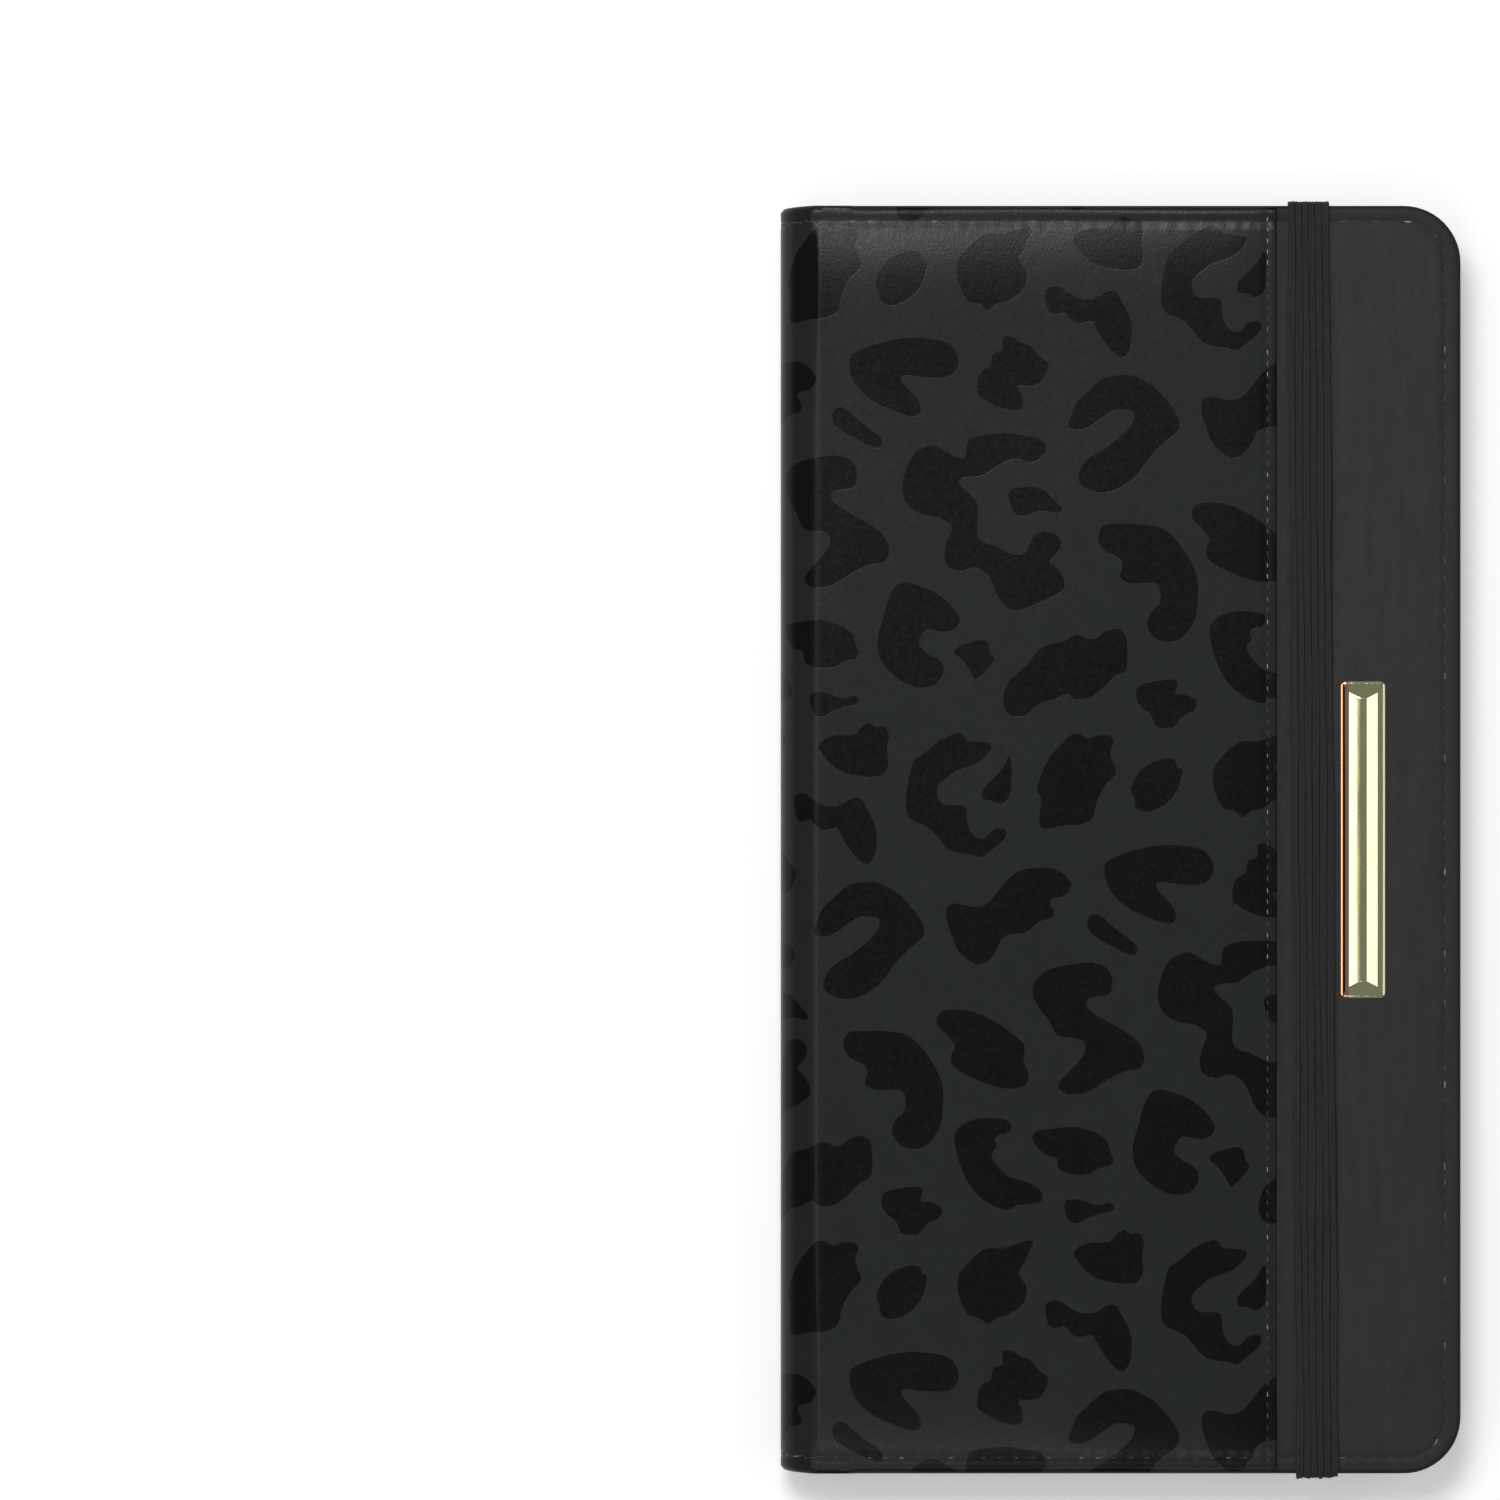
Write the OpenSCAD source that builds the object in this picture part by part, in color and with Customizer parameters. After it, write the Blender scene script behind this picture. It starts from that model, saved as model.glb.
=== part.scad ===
// Checkbook cover: two stiffened covers on a folding leather spine, held shut by an
// elastic strap. It lies shut on its back cover. X runs from the spine to the
// fore-edge, Y along the spine, and Z up through the closed cover. The origin is
// under the middle of the cover. Sizes are in millimetres.

/* [Cover] */
// Width of the closed cover, from the spine to the fore-edge
cover_w = 98; // [85:0.5:120]
// Height of the cover, along the spine
cover_h = 182.5; // [168:0.5:220]
// Thickness of the closed cover over its patterned leather
cover_t = 12; // [11:0.5:16]
// Radius of the two corners at the fore-edge
corner_r = 8.2; // [5:0.1:12]

/* [Leather] */
// Thickness of the patterned leather
print_t = 0.9; // [0.75:0.05:1.3]
// Thickness of the plain leather of the fore-edge band
band_t = 0.6; // [0.45:0.05:0.7]
// Width of the plain band, from the edge of the patterned leather to the fore-edge
band_w = 26.5; // [20:0.5:35]
// Width of the lap that joins the two leathers
lap_w = 5; // [3:0.5:8]
// Thickness of the band's skived tongue inside the lap
lap_t = 0.3; // [0.2:0.05:0.4]
// Width of the hem that is turned in round each stiffener
hem_w = 3.4; // [2.5:0.1:4.5]

/* [Stiffener and lining] */
// Thickness of each cardboard stiffener
board_t = 1; // [0.7:0.05:1.4]
// Distance from the fold line to the stiffener
board_setback = 5; // [3:0.5:8]
// Clearance between a stiffener and the hem round it
board_gap = 0.1; // [0.05:0.05:0.3]
// Thickness of the lining
lining_t = 0.6; // [0.4:0.05:0.8]
// Width of the slope by which the lining comes down off the stiffener
ramp_w = 1.4; // [0.8:0.1:2.5]

/* [Spine] */
// Gap between two strips of the spine at a fold line
fold_gap = 0.06; // [0.04:0.02:0.12]
// Width of the pen slot in the lining, with the cover laid open
pen_slot_w = 18; // [12:0.5:18]
// Height of the pen slot, along the spine
pen_slot_h = 4.9; // [3:0.1:7]
// Distance from the top of the cover to the middle of the pen slot
pen_slot_from_top = 23.6; // [15:0.1:60]

/* [Pockets] */
// Distance from the fold line to the mouth of a cash pocket
mouth_setback = 6; // [5:0.5:10]
// Thickness of a pocket panel with its seam
pocket_t = 0.5; // [0.4:0.05:0.7]
// Height of the empty space inside a pocket
pocket_gap = 0.12; // [0.05:0.01:0.2]
// Width of the sewn edge round a pocket
pocket_seam_w = 2.5; // [2:0.1:3.5]
// Distance from the top of the cover to the mouth of the card pocket
card_mouth_from_top = 17.1; // [10:0.1:40]

/* [Divider] */
// Width of the strip that holds the clear divider
strip_w = 5.7; // [4:0.1:8]
// Thickness of that strip
strip_t = 0.5; // [0.4:0.05:0.8]
// Radius of that strip's two free corners
strip_corner_r = 1; // [0.4:0.1:2]
// Length of the divider and its strip, along the spine
divider_l = 153.2; // [120:0.1:155]
// Distance from the top of the cover to the top of the divider
divider_from_top = 21; // [18:0.1:25]
// Width of the clear divider, from its strip to its free edge
divider_w = 72.2; // [55:0.1:76]
// Thickness of the clear divider
divider_t = 0.3; // [0.2:0.05:0.4]
// Radius of the divider's two free corners
divider_r = 6.3; // [2:0.1:10]
// Gap between the divider and its strip, and between the divider and the pocket
divider_gap = 0.08; // [0.05:0.01:0.15]

/* [Elastic strap] */
// Distance from the fore-edge to the middle of the strap
strap_from_edge = 21.4; // [17:0.1:22]
// Width of the strap's woven web
strap_w = 6.2; // [4:0.1:8]
// Thickness of the web between its ribs
strap_web_t = 0.55; // [0.4:0.05:0.8]
// Number of lengthwise ribs
strap_ribs = 6; // [3:1:9]
// Diameter of each rib
rib_d = 0.9; // [0.7:0.05:1.1]
// Clearance between the strap and what it lies on
strap_gap = 0.06; // [0.04:0.01:0.15]
// Radius of the strap's inner face where it turns over an edge
strap_bend_r = 0.14; // [0.1:0.01:0.2]
// Length of the strap's ends that is sewn to the inner face of the back cover
strap_sewn_l = 3.2; // [2:0.1:6]

/* [Trim bar] */
// Length of the bar, along the spine
bar_l = 45.6; // [30:0.1:60]
// Width of the bar
bar_w = 6.5; // [5:0.1:9]
// Distance from the fore-edge to the middle of the bar
bar_from_edge = 14.1; // [11:0.1:14.5]
// Radius of the corners of the bar's lip
bar_corner_r = 0.8; // [0.4:0.1:1.5]
// Width of the flat lip round the bar
lip_w = 0.35; // [0.2:0.05:0.6]
// Thickness of the lip
lip_t = 0.35; // [0.2:0.05:0.6]
// Width of the steep side facets
side_w = 0.8; // [0.4:0.05:1.1]
// Height of the top of the steep side facets above the leather
side_h = 1.1; // [0.7:0.05:1.4]
// Width of the flat ridge along the middle
ridge_w = 0.85; // [0.5:0.05:1.5]
// Height of the ridge above the leather
ridge_h = 1.6; // [1.5:0.05:2]
// Length of the sloped end facets
end_l = 2.1; // [1.5:0.1:4]
// Distance between the bar's two prongs
prong_pitch = 30; // [15:0.5:34]
// Width of a prong, across the bar
prong_w = 2.4; // [1.5:0.1:4]
// Thickness of a prong
prong_t = 0.3; // [0.2:0.05:0.4]
// Length of a prong's clinched foot
prong_foot_l = 3; // [2:0.1:5]
// Clearance round a prong and its foot
prong_gap = 0.08; // [0.05:0.01:0.15]

/* [Hidden] */

$fn = 64;
spine_strips = 3;
inner_corner_r = 0.5;
cut_margin = 1;

// Places in X, from the spine to the fore-edge
fore_edge_x = cover_w / 2;
spine_r = cover_t / 2;
fold_x = -cover_w / 2 + spine_r;
panel_x = fold_x + fold_gap / 2;
board_x = fold_x + board_setback;
mouth_x = fold_x + mouth_setback;
seam_x = fore_edge_x - band_w;
tongue_x = seam_x - lap_w;
strap_x = fore_edge_x - strap_from_edge;
bar_x = fore_edge_x - bar_from_edge;
strip_x = fore_edge_x - strip_w;

// Heights of the layers of one cover, from its outer face inwards
band_z = print_t - band_t;
board_z = print_t;
lining_z = board_z + board_t;
pocket_z = lining_z + lining_t;
card_z = pocket_z + pocket_t;
strip_z = card_z + pocket_t;

// Places in Y
top_y = cover_h / 2;
card_mouth_y = top_y - card_mouth_from_top;
divider_y = top_y - divider_from_top - divider_l;
pen_slot_y = top_y - pen_slot_from_top;

// The spine's strips, and the pen slot as angles round the spine's centre line
strip_angle = 180 / spine_strips;
gap_angle = fold_gap / 2 / spine_r * 180 / PI;
spine_lining_r = spine_r - print_t;
slot_end_angle = pen_slot_w / 2 / spine_r * 180 / PI;
slot_round_angle = asin(pen_slot_h / 2 / (spine_lining_r - lining_t / 2));
slot_centre_angle = slot_end_angle - slot_round_angle;

// The strap lies on the front cover's band, rib_d thick, and turns down past both
// ends of the cover to its sewn ends on the back pocket
strap_z = cover_t - band_z + strap_gap;
strap_inner_y = top_y + strap_gap;
strap_end_z = pocket_z + pocket_t + strap_gap;
strap_foot_z = strap_end_z + rib_d + strap_gap;
rib_pitch = (strap_w - strap_web_t) / strap_ribs;

// Mirrors a piece of the back cover onto the front cover
module on_front_cover() {
    translate([0, 0, cover_t]) mirror([0, 0, 1]) children();
}

// Sweeps an outline drawn in X and Z along the spine, over a length centred on Y
module along_spine(length) {
    rotate([90, 0, 0]) linear_extrude(length, center = true) children();
}

// Outline of one cover from x_from to the fore-edge, with its two round corners and
// drawn in by inset on its three free sides
module cover_outline(x_from, inset = 0) {
    x_to = fore_edge_x - inset;
    y_to = top_y - inset;
    r = max(corner_r - inset, inner_corner_r);
    union() {
        translate([x_from, -y_to]) square([x_to - r - x_from, 2 * y_to]);
        translate([x_from, -y_to + r]) square([x_to - x_from, 2 * (y_to - r)]);
        for (side = [-1, 1]) translate([x_to - r, side * (y_to - r)]) circle(r);
    }
}

// Patterned leather of a cover: its face, skived inside the lap, and the hems turned
// in along the top and the bottom
module print_panel() {
    translate([panel_x, -top_y, 0]) cube([tongue_x - panel_x, cover_h, print_t]);
    translate([tongue_x, -top_y, 0]) cube([lap_w, cover_h, print_t - lap_t]);
    for (y = [-top_y, top_y - hem_w])
        translate([board_x, y, board_z]) cube([tongue_x - board_x, hem_w, board_t]);
}

// Plain leather at the fore-edge: its face, the tongue under the patterned leather,
// and the hem turned in round the stiffener
module plain_band() {
    translate([0, 0, band_z]) linear_extrude(band_t) cover_outline(seam_x);
    translate([tongue_x, -top_y, print_t - lap_t]) cube([lap_w, cover_h, lap_t]);
    translate([0, 0, board_z]) linear_extrude(board_t) difference() {
        cover_outline(tongue_x);
        cover_outline(tongue_x - cut_margin, hem_w);
    }
}

module board() {
    translate([0, 0, board_z]) linear_extrude(board_t)
        cover_outline(board_x, hem_w + board_gap);
}

// The lining covers the stiffener and slopes down off its edge to the fold line
module lining() {
    bend_x = board_x - ramp_w;
    intersection() {
        along_spine(cover_h) polygon([
            [panel_x, print_t], [bend_x, print_t],
            [board_x, lining_z], [fore_edge_x, lining_z],
            [fore_edge_x, pocket_z], [board_x, pocket_z],
            [bend_x, print_t + lining_t], [panel_x, print_t + lining_t]
        ]);
        linear_extrude(cover_t) cover_outline(panel_x);
    }
}

// A pocket panel sewn down on three sides, with a folded, round-nosed mouth towards
// the spine
module cash_pocket_panel() {
    nose_r = pocket_t / 2;
    translate([0, 0, pocket_z]) {
        difference() {
            linear_extrude(pocket_t) cover_outline(mouth_x + nose_r);
            translate([0, 0, -cut_margin]) linear_extrude(cut_margin + pocket_gap)
                cover_outline(mouth_x - cut_margin, pocket_seam_w);
        }
        difference() {
            translate([mouth_x + nose_r, 0, nose_r]) rotate([90, 0, 0])
                cylinder(r = nose_r, h = cover_h, center = true);
            translate([mouth_x - cut_margin, pocket_seam_w - top_y, -cut_margin])
                cube([2 * cut_margin, cover_h - 2 * pocket_seam_w, cut_margin + pocket_gap]);
        }
    }
}

// The card pocket lies on the front cash pocket, with its mouth towards the top
module card_pocket_panel() {
    nose_r = pocket_t / 2;
    mouth_y = card_mouth_y - nose_r;
    panel_w = fore_edge_x - mouth_x;
    translate([0, 0, card_z]) difference() {
        union() {
            linear_extrude(pocket_t) intersection() {
                cover_outline(mouth_x);
                translate([mouth_x, -top_y]) square([panel_w, top_y + mouth_y]);
            }
            translate([mouth_x, mouth_y, nose_r]) rotate([0, 90, 0])
                cylinder(r = nose_r, h = panel_w);
        }
        translate([mouth_x + pocket_seam_w, pocket_seam_w - top_y, -cut_margin])
            cube([panel_w - 2 * pocket_seam_w, cover_h, cut_margin + pocket_gap]);
    }
}

// The leather strip that holds the clear divider's edge
module divider_strip() {
    r = strip_corner_r;
    translate([0, divider_y, strip_z]) linear_extrude(strip_t) union() {
        translate([strip_x + r, 0]) square([strip_w - r, divider_l]);
        translate([strip_x, r]) square([strip_w, divider_l - 2 * r]);
        for (y = [r, divider_l - r]) translate([strip_x + r, y]) circle(r);
    }
}

// The clear sheet, drawn from its strip to its rounded free edge
module divider_sheet() {
    x_to = strip_x - divider_gap;
    x_from = x_to - divider_w;
    r = divider_r;
    translate([0, divider_y, strip_z + divider_gap]) linear_extrude(divider_t) union() {
        translate([x_from + r, 0]) square([divider_w - r, divider_l]);
        translate([x_from, r]) square([divider_w, divider_l - 2 * r]);
        for (y = [r, divider_l - r]) translate([x_from + r, y]) circle(r);
    }
}

// Part of a ring round the spine's centre line, in X and Z
module ring_sector(r_in, r_out, a_from, a_to) {
    reach = 2 * r_out;
    translate([fold_x, spine_r]) intersection() {
        difference() {
            circle(r_out);
            circle(r_in);
        }
        polygon([
            [0, 0], reach * [cos(a_from), sin(a_from)],
            reach * [cos((a_from + a_to) / 2), sin((a_from + a_to) / 2)],
            reach * [cos(a_to), sin(a_to)]
        ]);
    }
}

// One strip of a spine layer: strip 1 joins the back cover and the last the front
module spine_strip(number, r_in, r_out) {
    a_from = -90 - (number - 1) * strip_angle - gap_angle;
    a_to = -90 - number * strip_angle + gap_angle;
    along_spine(cover_h) ring_sector(r_in, r_out, a_from, a_to);
}

// The pen slot's long hole, bent round the spine with the lining
module pen_slot() {
    a_min = 180 - slot_centre_angle;
    a_max = 180 + slot_centre_angle;
    translate([0, pen_slot_y, 0]) {
        along_spine(pen_slot_h) ring_sector(spine_r / 2, spine_r, a_min, 180);
        along_spine(pen_slot_h) ring_sector(spine_r / 2, spine_r, 180, a_max);
        for (a = [a_min, a_max])
            translate([fold_x, 0, spine_r]) rotate([0, -a, 0]) rotate([0, 90, 0])
                cylinder(d = pen_slot_h, h = spine_r);
    }
}

module spine_cover(number) {
    spine_strip(number, spine_lining_r, spine_r);
}

module spine_lining(number) {
    difference() {
        spine_strip(number, spine_lining_r - lining_t, spine_lining_r);
        pen_slot();
    }
}

// Cross-section of the strap: a flat web with round ribs, standing on its ribs
module strap_section() {
    translate([-strap_w / 2, rib_d / 2 - strap_web_t / 2]) square([strap_w, strap_web_t]);
    for (i = [0 : strap_ribs - 1])
        translate([(i - (strap_ribs - 1) / 2) * rib_pitch, rib_d / 2])
            circle(d = rib_d, $fn = 24);
}

// The strap's run over the front cover, its two turns and its two legs
module strap() {
    turn_y = strap_inner_y - strap_bend_r;
    turn_z = strap_z - strap_bend_r;
    translate([strap_x, 0, 0]) {
        translate([0, 0, strap_z]) along_spine(2 * turn_y) strap_section();
        for (side = [0, 1]) mirror([0, side, 0]) {
            translate([0, turn_y, turn_z]) rotate([0, 90, 0]) rotate([0, 0, 90])
                rotate_extrude(angle = 90, $fn = 64) translate([strap_bend_r, 0])
                    rotate(90) mirror([0, 1]) strap_section();
            translate([0, strap_inner_y, strap_foot_z])
                linear_extrude(turn_z - strap_foot_z) strap_section();
        }
    }
}

// The strap's sewn ends, on the inner face of the back cover
module strap_sewn_ends() {
    end_l = strap_sewn_l + strap_gap + rib_d;
    for (side = [0, 1]) mirror([0, side, 0])
        translate([strap_x, top_y - strap_sewn_l + end_l / 2, strap_end_z])
            along_spine(end_l) strap_section();
}

// The faceted bar on its lip, standing on z = 0 with its prongs below
module bar() {
    half_w = bar_w / 2;
    half_l = bar_l / 2;
    side_x = half_w - lip_w;
    shoulder_x = side_x - side_w;
    end_y = half_l - lip_w;
    linear_extrude(lip_t) union() {
        square([bar_w, bar_l - 2 * bar_corner_r], center = true);
        square([bar_w - 2 * bar_corner_r, bar_l], center = true);
        for (x = [-1, 1], y = [-1, 1])
            translate([x * (half_w - bar_corner_r), y * (half_l - bar_corner_r)])
                circle(bar_corner_r);
    }
    intersection() {
        along_spine(bar_l) polygon([
            [-side_x, lip_t], [side_x, lip_t], [shoulder_x, side_h],
            [ridge_w / 2, ridge_h], [-ridge_w / 2, ridge_h], [-shoulder_x, side_h]
        ]);
        rotate([90, 0, 90]) linear_extrude(bar_w, center = true) polygon([
            [-end_y, lip_t], [end_y, lip_t],
            [end_y - end_l, ridge_h], [end_l - end_y, ridge_h]
        ]);
    }
    prongs(0);
}

// The bar's prongs pass through the leather and the stiffener, and their feet are
// clinched towards each other on its inner face. The same shape, grown by gap, cuts
// their slots.
module prongs(gap) {
    leg_l = band_t + board_t;
    for (side = [0, 1]) mirror([0, side, 0]) {
        translate([-prong_w / 2 - gap, prong_pitch / 2 - gap, -leg_l])
            cube([prong_w + 2 * gap, prong_t + 2 * gap, leg_l]);
        translate([-prong_w / 2 - gap, prong_pitch / 2 - prong_foot_l - gap, -leg_l])
            cube([prong_w + 2 * gap, prong_foot_l + prong_t + 2 * gap, prong_t + gap]);
    }
}

// Puts the bar, or a cut for its prongs, on the front cover's band
module at_bar() {
    translate([bar_x, 0, cover_t - band_z]) children();
}

module back_print_panel() color("#34373a") print_panel();
module back_plain_band() color("#323232") plain_band();
module back_board() color("#8c7a5c") board();
module back_lining() color("#3a3a3a") lining();
module back_pocket() color("#343434") cash_pocket_panel();
module strap_ends() color("#2b2b2b") strap_sewn_ends();
module spine_cover_1() color("#34373a") spine_cover(1);
module spine_cover_2() color("#34373a") spine_cover(2);
module spine_cover_3() color("#34373a") spine_cover(3);
module spine_lining_1() color("#3a3a3a") spine_lining(1);
module spine_lining_2() color("#3a3a3a") spine_lining(2);
module spine_lining_3() color("#3a3a3a") spine_lining(3);
module front_print_panel() color("#34373a") on_front_cover() print_panel();
module front_plain_band() color("#323232") difference() {
    on_front_cover() plain_band();
    at_bar() prongs(prong_gap);
}
module front_board() color("#8c7a5c") difference() {
    on_front_cover() board();
    at_bar() prongs(prong_gap);
}
module front_lining() color("#3a3a3a") on_front_cover() lining();
module cash_pocket() color("#343434") on_front_cover() cash_pocket_panel();
module card_pocket() color("#363636") on_front_cover() card_pocket_panel();
module front_divider_strip() color("#383838") on_front_cover() divider_strip();
module trim_bar() color("#d8c68a") at_bar() bar();
module clear_divider() color("#c8d0d4", 0.4) on_front_cover() divider_sheet();
module elastic_strap() color("#2b2b2b") strap();

back_print_panel();
back_plain_band();
back_board();
back_lining();
back_pocket();
strap_ends();
spine_cover_1();
spine_cover_2();
spine_cover_3();
spine_lining_1();
spine_lining_2();
spine_lining_3();
front_print_panel();
front_plain_band();
front_board();
front_lining();
cash_pocket();
card_pocket();
front_divider_strip();  // divider_strip
trim_bar();
clear_divider();
elastic_strap();
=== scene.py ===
"""The looks of a folding checkbook cover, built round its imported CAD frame.

Lengths are in millimetres until a mesh is made, and mesh_object() turns them into metres.
The cover lies shut on its back cover, with the spine at the left and the fore-edge right.
"""
import math

import bmesh
import bpy
import numpy as np
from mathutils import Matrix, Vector

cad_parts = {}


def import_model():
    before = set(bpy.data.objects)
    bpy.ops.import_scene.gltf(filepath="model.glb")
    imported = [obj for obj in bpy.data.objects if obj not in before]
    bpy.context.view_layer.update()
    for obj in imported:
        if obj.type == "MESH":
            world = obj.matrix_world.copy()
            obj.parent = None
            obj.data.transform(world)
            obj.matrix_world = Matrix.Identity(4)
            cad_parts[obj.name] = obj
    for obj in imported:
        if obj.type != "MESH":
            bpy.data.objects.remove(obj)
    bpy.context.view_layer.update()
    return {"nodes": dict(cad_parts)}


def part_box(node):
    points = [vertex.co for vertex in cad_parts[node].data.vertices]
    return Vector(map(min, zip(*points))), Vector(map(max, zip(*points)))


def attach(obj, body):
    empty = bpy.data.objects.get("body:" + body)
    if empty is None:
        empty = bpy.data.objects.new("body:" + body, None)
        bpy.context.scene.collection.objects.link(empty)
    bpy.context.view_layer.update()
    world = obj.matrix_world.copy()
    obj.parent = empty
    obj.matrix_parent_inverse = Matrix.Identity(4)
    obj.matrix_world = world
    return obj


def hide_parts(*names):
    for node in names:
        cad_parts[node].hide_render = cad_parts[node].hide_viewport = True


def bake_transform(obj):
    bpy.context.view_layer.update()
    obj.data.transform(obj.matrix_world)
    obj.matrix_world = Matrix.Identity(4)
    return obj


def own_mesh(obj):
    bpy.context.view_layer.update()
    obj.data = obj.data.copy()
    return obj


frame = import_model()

MM = 0.001


def box_mm(node_name):
    """Lowest and highest corner of a CAD node, in millimetres."""
    return [np.array(corner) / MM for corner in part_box(node_name)]


# Places that the frame gives
SEAM_X, TOP_Y, COVER_T = box_mm("front_print_panel")[1]
FORE_EDGE_X, _, BAND_FACE_Z = box_mm("front_plain_band")[1]
(BOARD_X, _, HEM_Z), (_, _, FACE_BACK_Z) = box_mm("front_board")
STRAP_LOW, STRAP_HIGH = box_mm("elastic_strap")
ENDS_LOW, ENDS_HIGH = box_mm("strap_ends")
BAR_LOW, BAR_HIGH = box_mm("trim_bar")
STRIP_LOW, STRIP_HIGH = box_mm("divider_strip")
POCKET_X = box_mm("cash_pocket")[0][0]
POCKET_BACK_Z, POCKET_TOP_Z = (corner[2] for corner in box_mm("back_pocket"))
CARD_MOUTH_Y = box_mm("card_pocket")[1][1]
SPINE_R = COVER_T / 2
FOLD_X = box_mm("spine_cover_2")[0][0] + SPINE_R
PRINT_T = COVER_T - FACE_BACK_Z
BOARD_T = FACE_BACK_Z - HEM_Z
POCKET_T = POCKET_TOP_Z - POCKET_BACK_Z
CARD_TOP_Z = POCKET_TOP_Z + POCKET_T

# Sizes of the CAD solids that their boxes don't give
CORNER_R = 8.2
HEM_W = 3.4
RAMP_W = 1.4
LINING_T = 0.6

# Seams
STITCH_PITCH = 2.35
STITCH_L = 1.45
THREAD_R = 0.09
SEAM_INSET = 2.3
LAP_SEAM_INSET = 1.35
MOUTH_SEAM_INSET = 2.1

# Spacing of the points on leather that carries the print, and on other panels
PRINT_STEP = 0.55
PANEL_STEP = 0.8


def smoothstep(low, high, value):
    """0 up to low and 1 from high on, with a soft rise between them."""
    t = np.clip((value - low) / (high - low), 0, 1)
    return t * t * (3 - 2 * t)


def bump_at(value, centre, width):
    """A soft ridge of height 1 at centre."""
    return np.exp(-(((value - centre) / width) ** 2))


def waves(x, y, size, seed):
    """Gentle unevenness between about -1 and 1, from a few crossing waves."""
    rng = np.random.default_rng(seed)
    total = np.zeros(np.broadcast(x, y).shape)
    for _ in range(6):
        angle = rng.uniform(0, 2 * math.pi)
        length = size * rng.uniform(0.6, 1.6)
        phase = rng.uniform(0, 2 * math.pi)
        total = total + np.sin(2 * math.pi * (x * math.cos(angle) + y * math.sin(angle)) / length + phase)
    return total / 3


def mesh_object(name, points, faces, material, marks=None):
    """Makes a smooth mesh from points in millimetres. marks holds attributes, one number per point."""
    mesh = bpy.data.meshes.new(name)
    mesh.from_pydata((np.asarray(points, float) * MM).tolist(), [], [list(map(int, f)) for f in faces])
    for key, values in (marks or {}).items():
        layer = mesh.attributes.new(key, "FLOAT", "POINT")
        layer.data.foreach_set("value", np.asarray(values, np.float32))
    mesh.validate()
    mesh.materials.append(material)
    mesh.shade_smooth()
    return in_scene(name, mesh)


def in_scene(name, data):
    """A new object in the scene, from a mesh, a lamp or a camera."""
    piece = bpy.data.objects.new(name, data)
    bpy.context.scene.collection.objects.link(piece)
    return piece


def face_outwards(piece, change=None):
    """Turns every face of a closed mesh outwards, after a change to its editable copy if one is given."""
    work = bmesh.new()
    work.from_mesh(piece.data)
    if change:
        change(work)
    bmesh.ops.recalc_face_normals(work, faces=work.faces)
    work.to_mesh(piece.data)
    work.free()


def hang(piece, body, node_name, crisp):
    """Puts a piece on its body in place of a CAD node. Edges over crisp degrees stay sharp."""
    piece.data.set_sharp_from_angle(angle=math.radians(crisp))
    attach(piece, body)
    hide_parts(node_name)


def on_back(points):
    """Mirrors points of the front cover onto the back cover."""
    points = np.array(points, float)
    points[:, 2] = COVER_T - points[:, 2]
    return points


# Materials

def principled(name, **sockets):
    """A new material, with numbers and colours set on the shader's own sockets."""
    material = bpy.data.materials.new(name)
    material.use_nodes = True
    shader = material.node_tree.nodes["Principled BSDF"]
    for key, value in sockets.items():
        shader.inputs[key.replace("_", " ")].default_value = value
    return material, material.node_tree, shader


def node(tree, kind, values=None, **settings):
    """A new shader node, with values set on its sockets."""
    made = tree.nodes.new(kind)
    for key, value in settings.items():
        setattr(made, key, value)
    for key, value in (values or {}).items():
        made.inputs[key].default_value = value
    return made


def attribute(tree, name):
    return node(tree, "ShaderNodeAttribute", attribute_name=name).outputs["Fac"]


def object_coordinates(tree, scale=(1, 1, 1)):
    """The place on the object in metres, stretched by scale."""
    place = node(tree, "ShaderNodeTexCoord")
    mapping = node(tree, "ShaderNodeMapping", {"Scale": scale})
    tree.links.new(place.outputs["Object"], mapping.inputs["Vector"])
    return mapping.outputs["Vector"]


def texture(tree, kind, output, values, stretch=(1, 1, 1), **settings):
    """A procedural texture on the object's coordinates."""
    made = node(tree, kind, values, **settings)
    tree.links.new(object_coordinates(tree, stretch), made.inputs["Vector"])
    return made.outputs[output]


def noise(tree, scale, detail=3, roughness=0.55, stretch=(1, 1, 1)):
    values = {"Scale": scale, "Detail": detail, "Roughness": roughness}
    return texture(tree, "ShaderNodeTexNoise", "Fac", values, stretch)


def cells(tree, scale):
    """Distance to the nearest of many scattered points, for grain."""
    values = {"Scale": scale, "Smoothness": 0.6}
    return texture(tree, "ShaderNodeTexVoronoi", "Distance", values, feature="SMOOTH_F1")


def ranged(tree, value, low, high, to_low, to_high):
    made = node(tree, "ShaderNodeMapRange", {1: low, 2: high, 3: to_low, 4: to_high})
    tree.links.new(value, made.inputs["Value"])
    return made.outputs["Result"]


def uneven(tree, scale, detail, low, high):
    """A value that varies between low and high from place to place."""
    return ranged(tree, noise(tree, scale, detail), 0.3, 0.7, low, high)


def maths(tree, operation, a, b):
    made = node(tree, "ShaderNodeMath", operation=operation)
    for index, value in enumerate((a, b)):
        if isinstance(value, (int, float)):
            made.inputs[index].default_value = value
        else:
            tree.links.new(value, made.inputs[index])
    return made.outputs["Value"]


def plus(tree, a, b, share=None):
    """The sum of a and b, or of a and that share of b."""
    return maths(tree, "ADD", a, b if share is None else maths(tree, "MULTIPLY", b, share))


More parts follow.
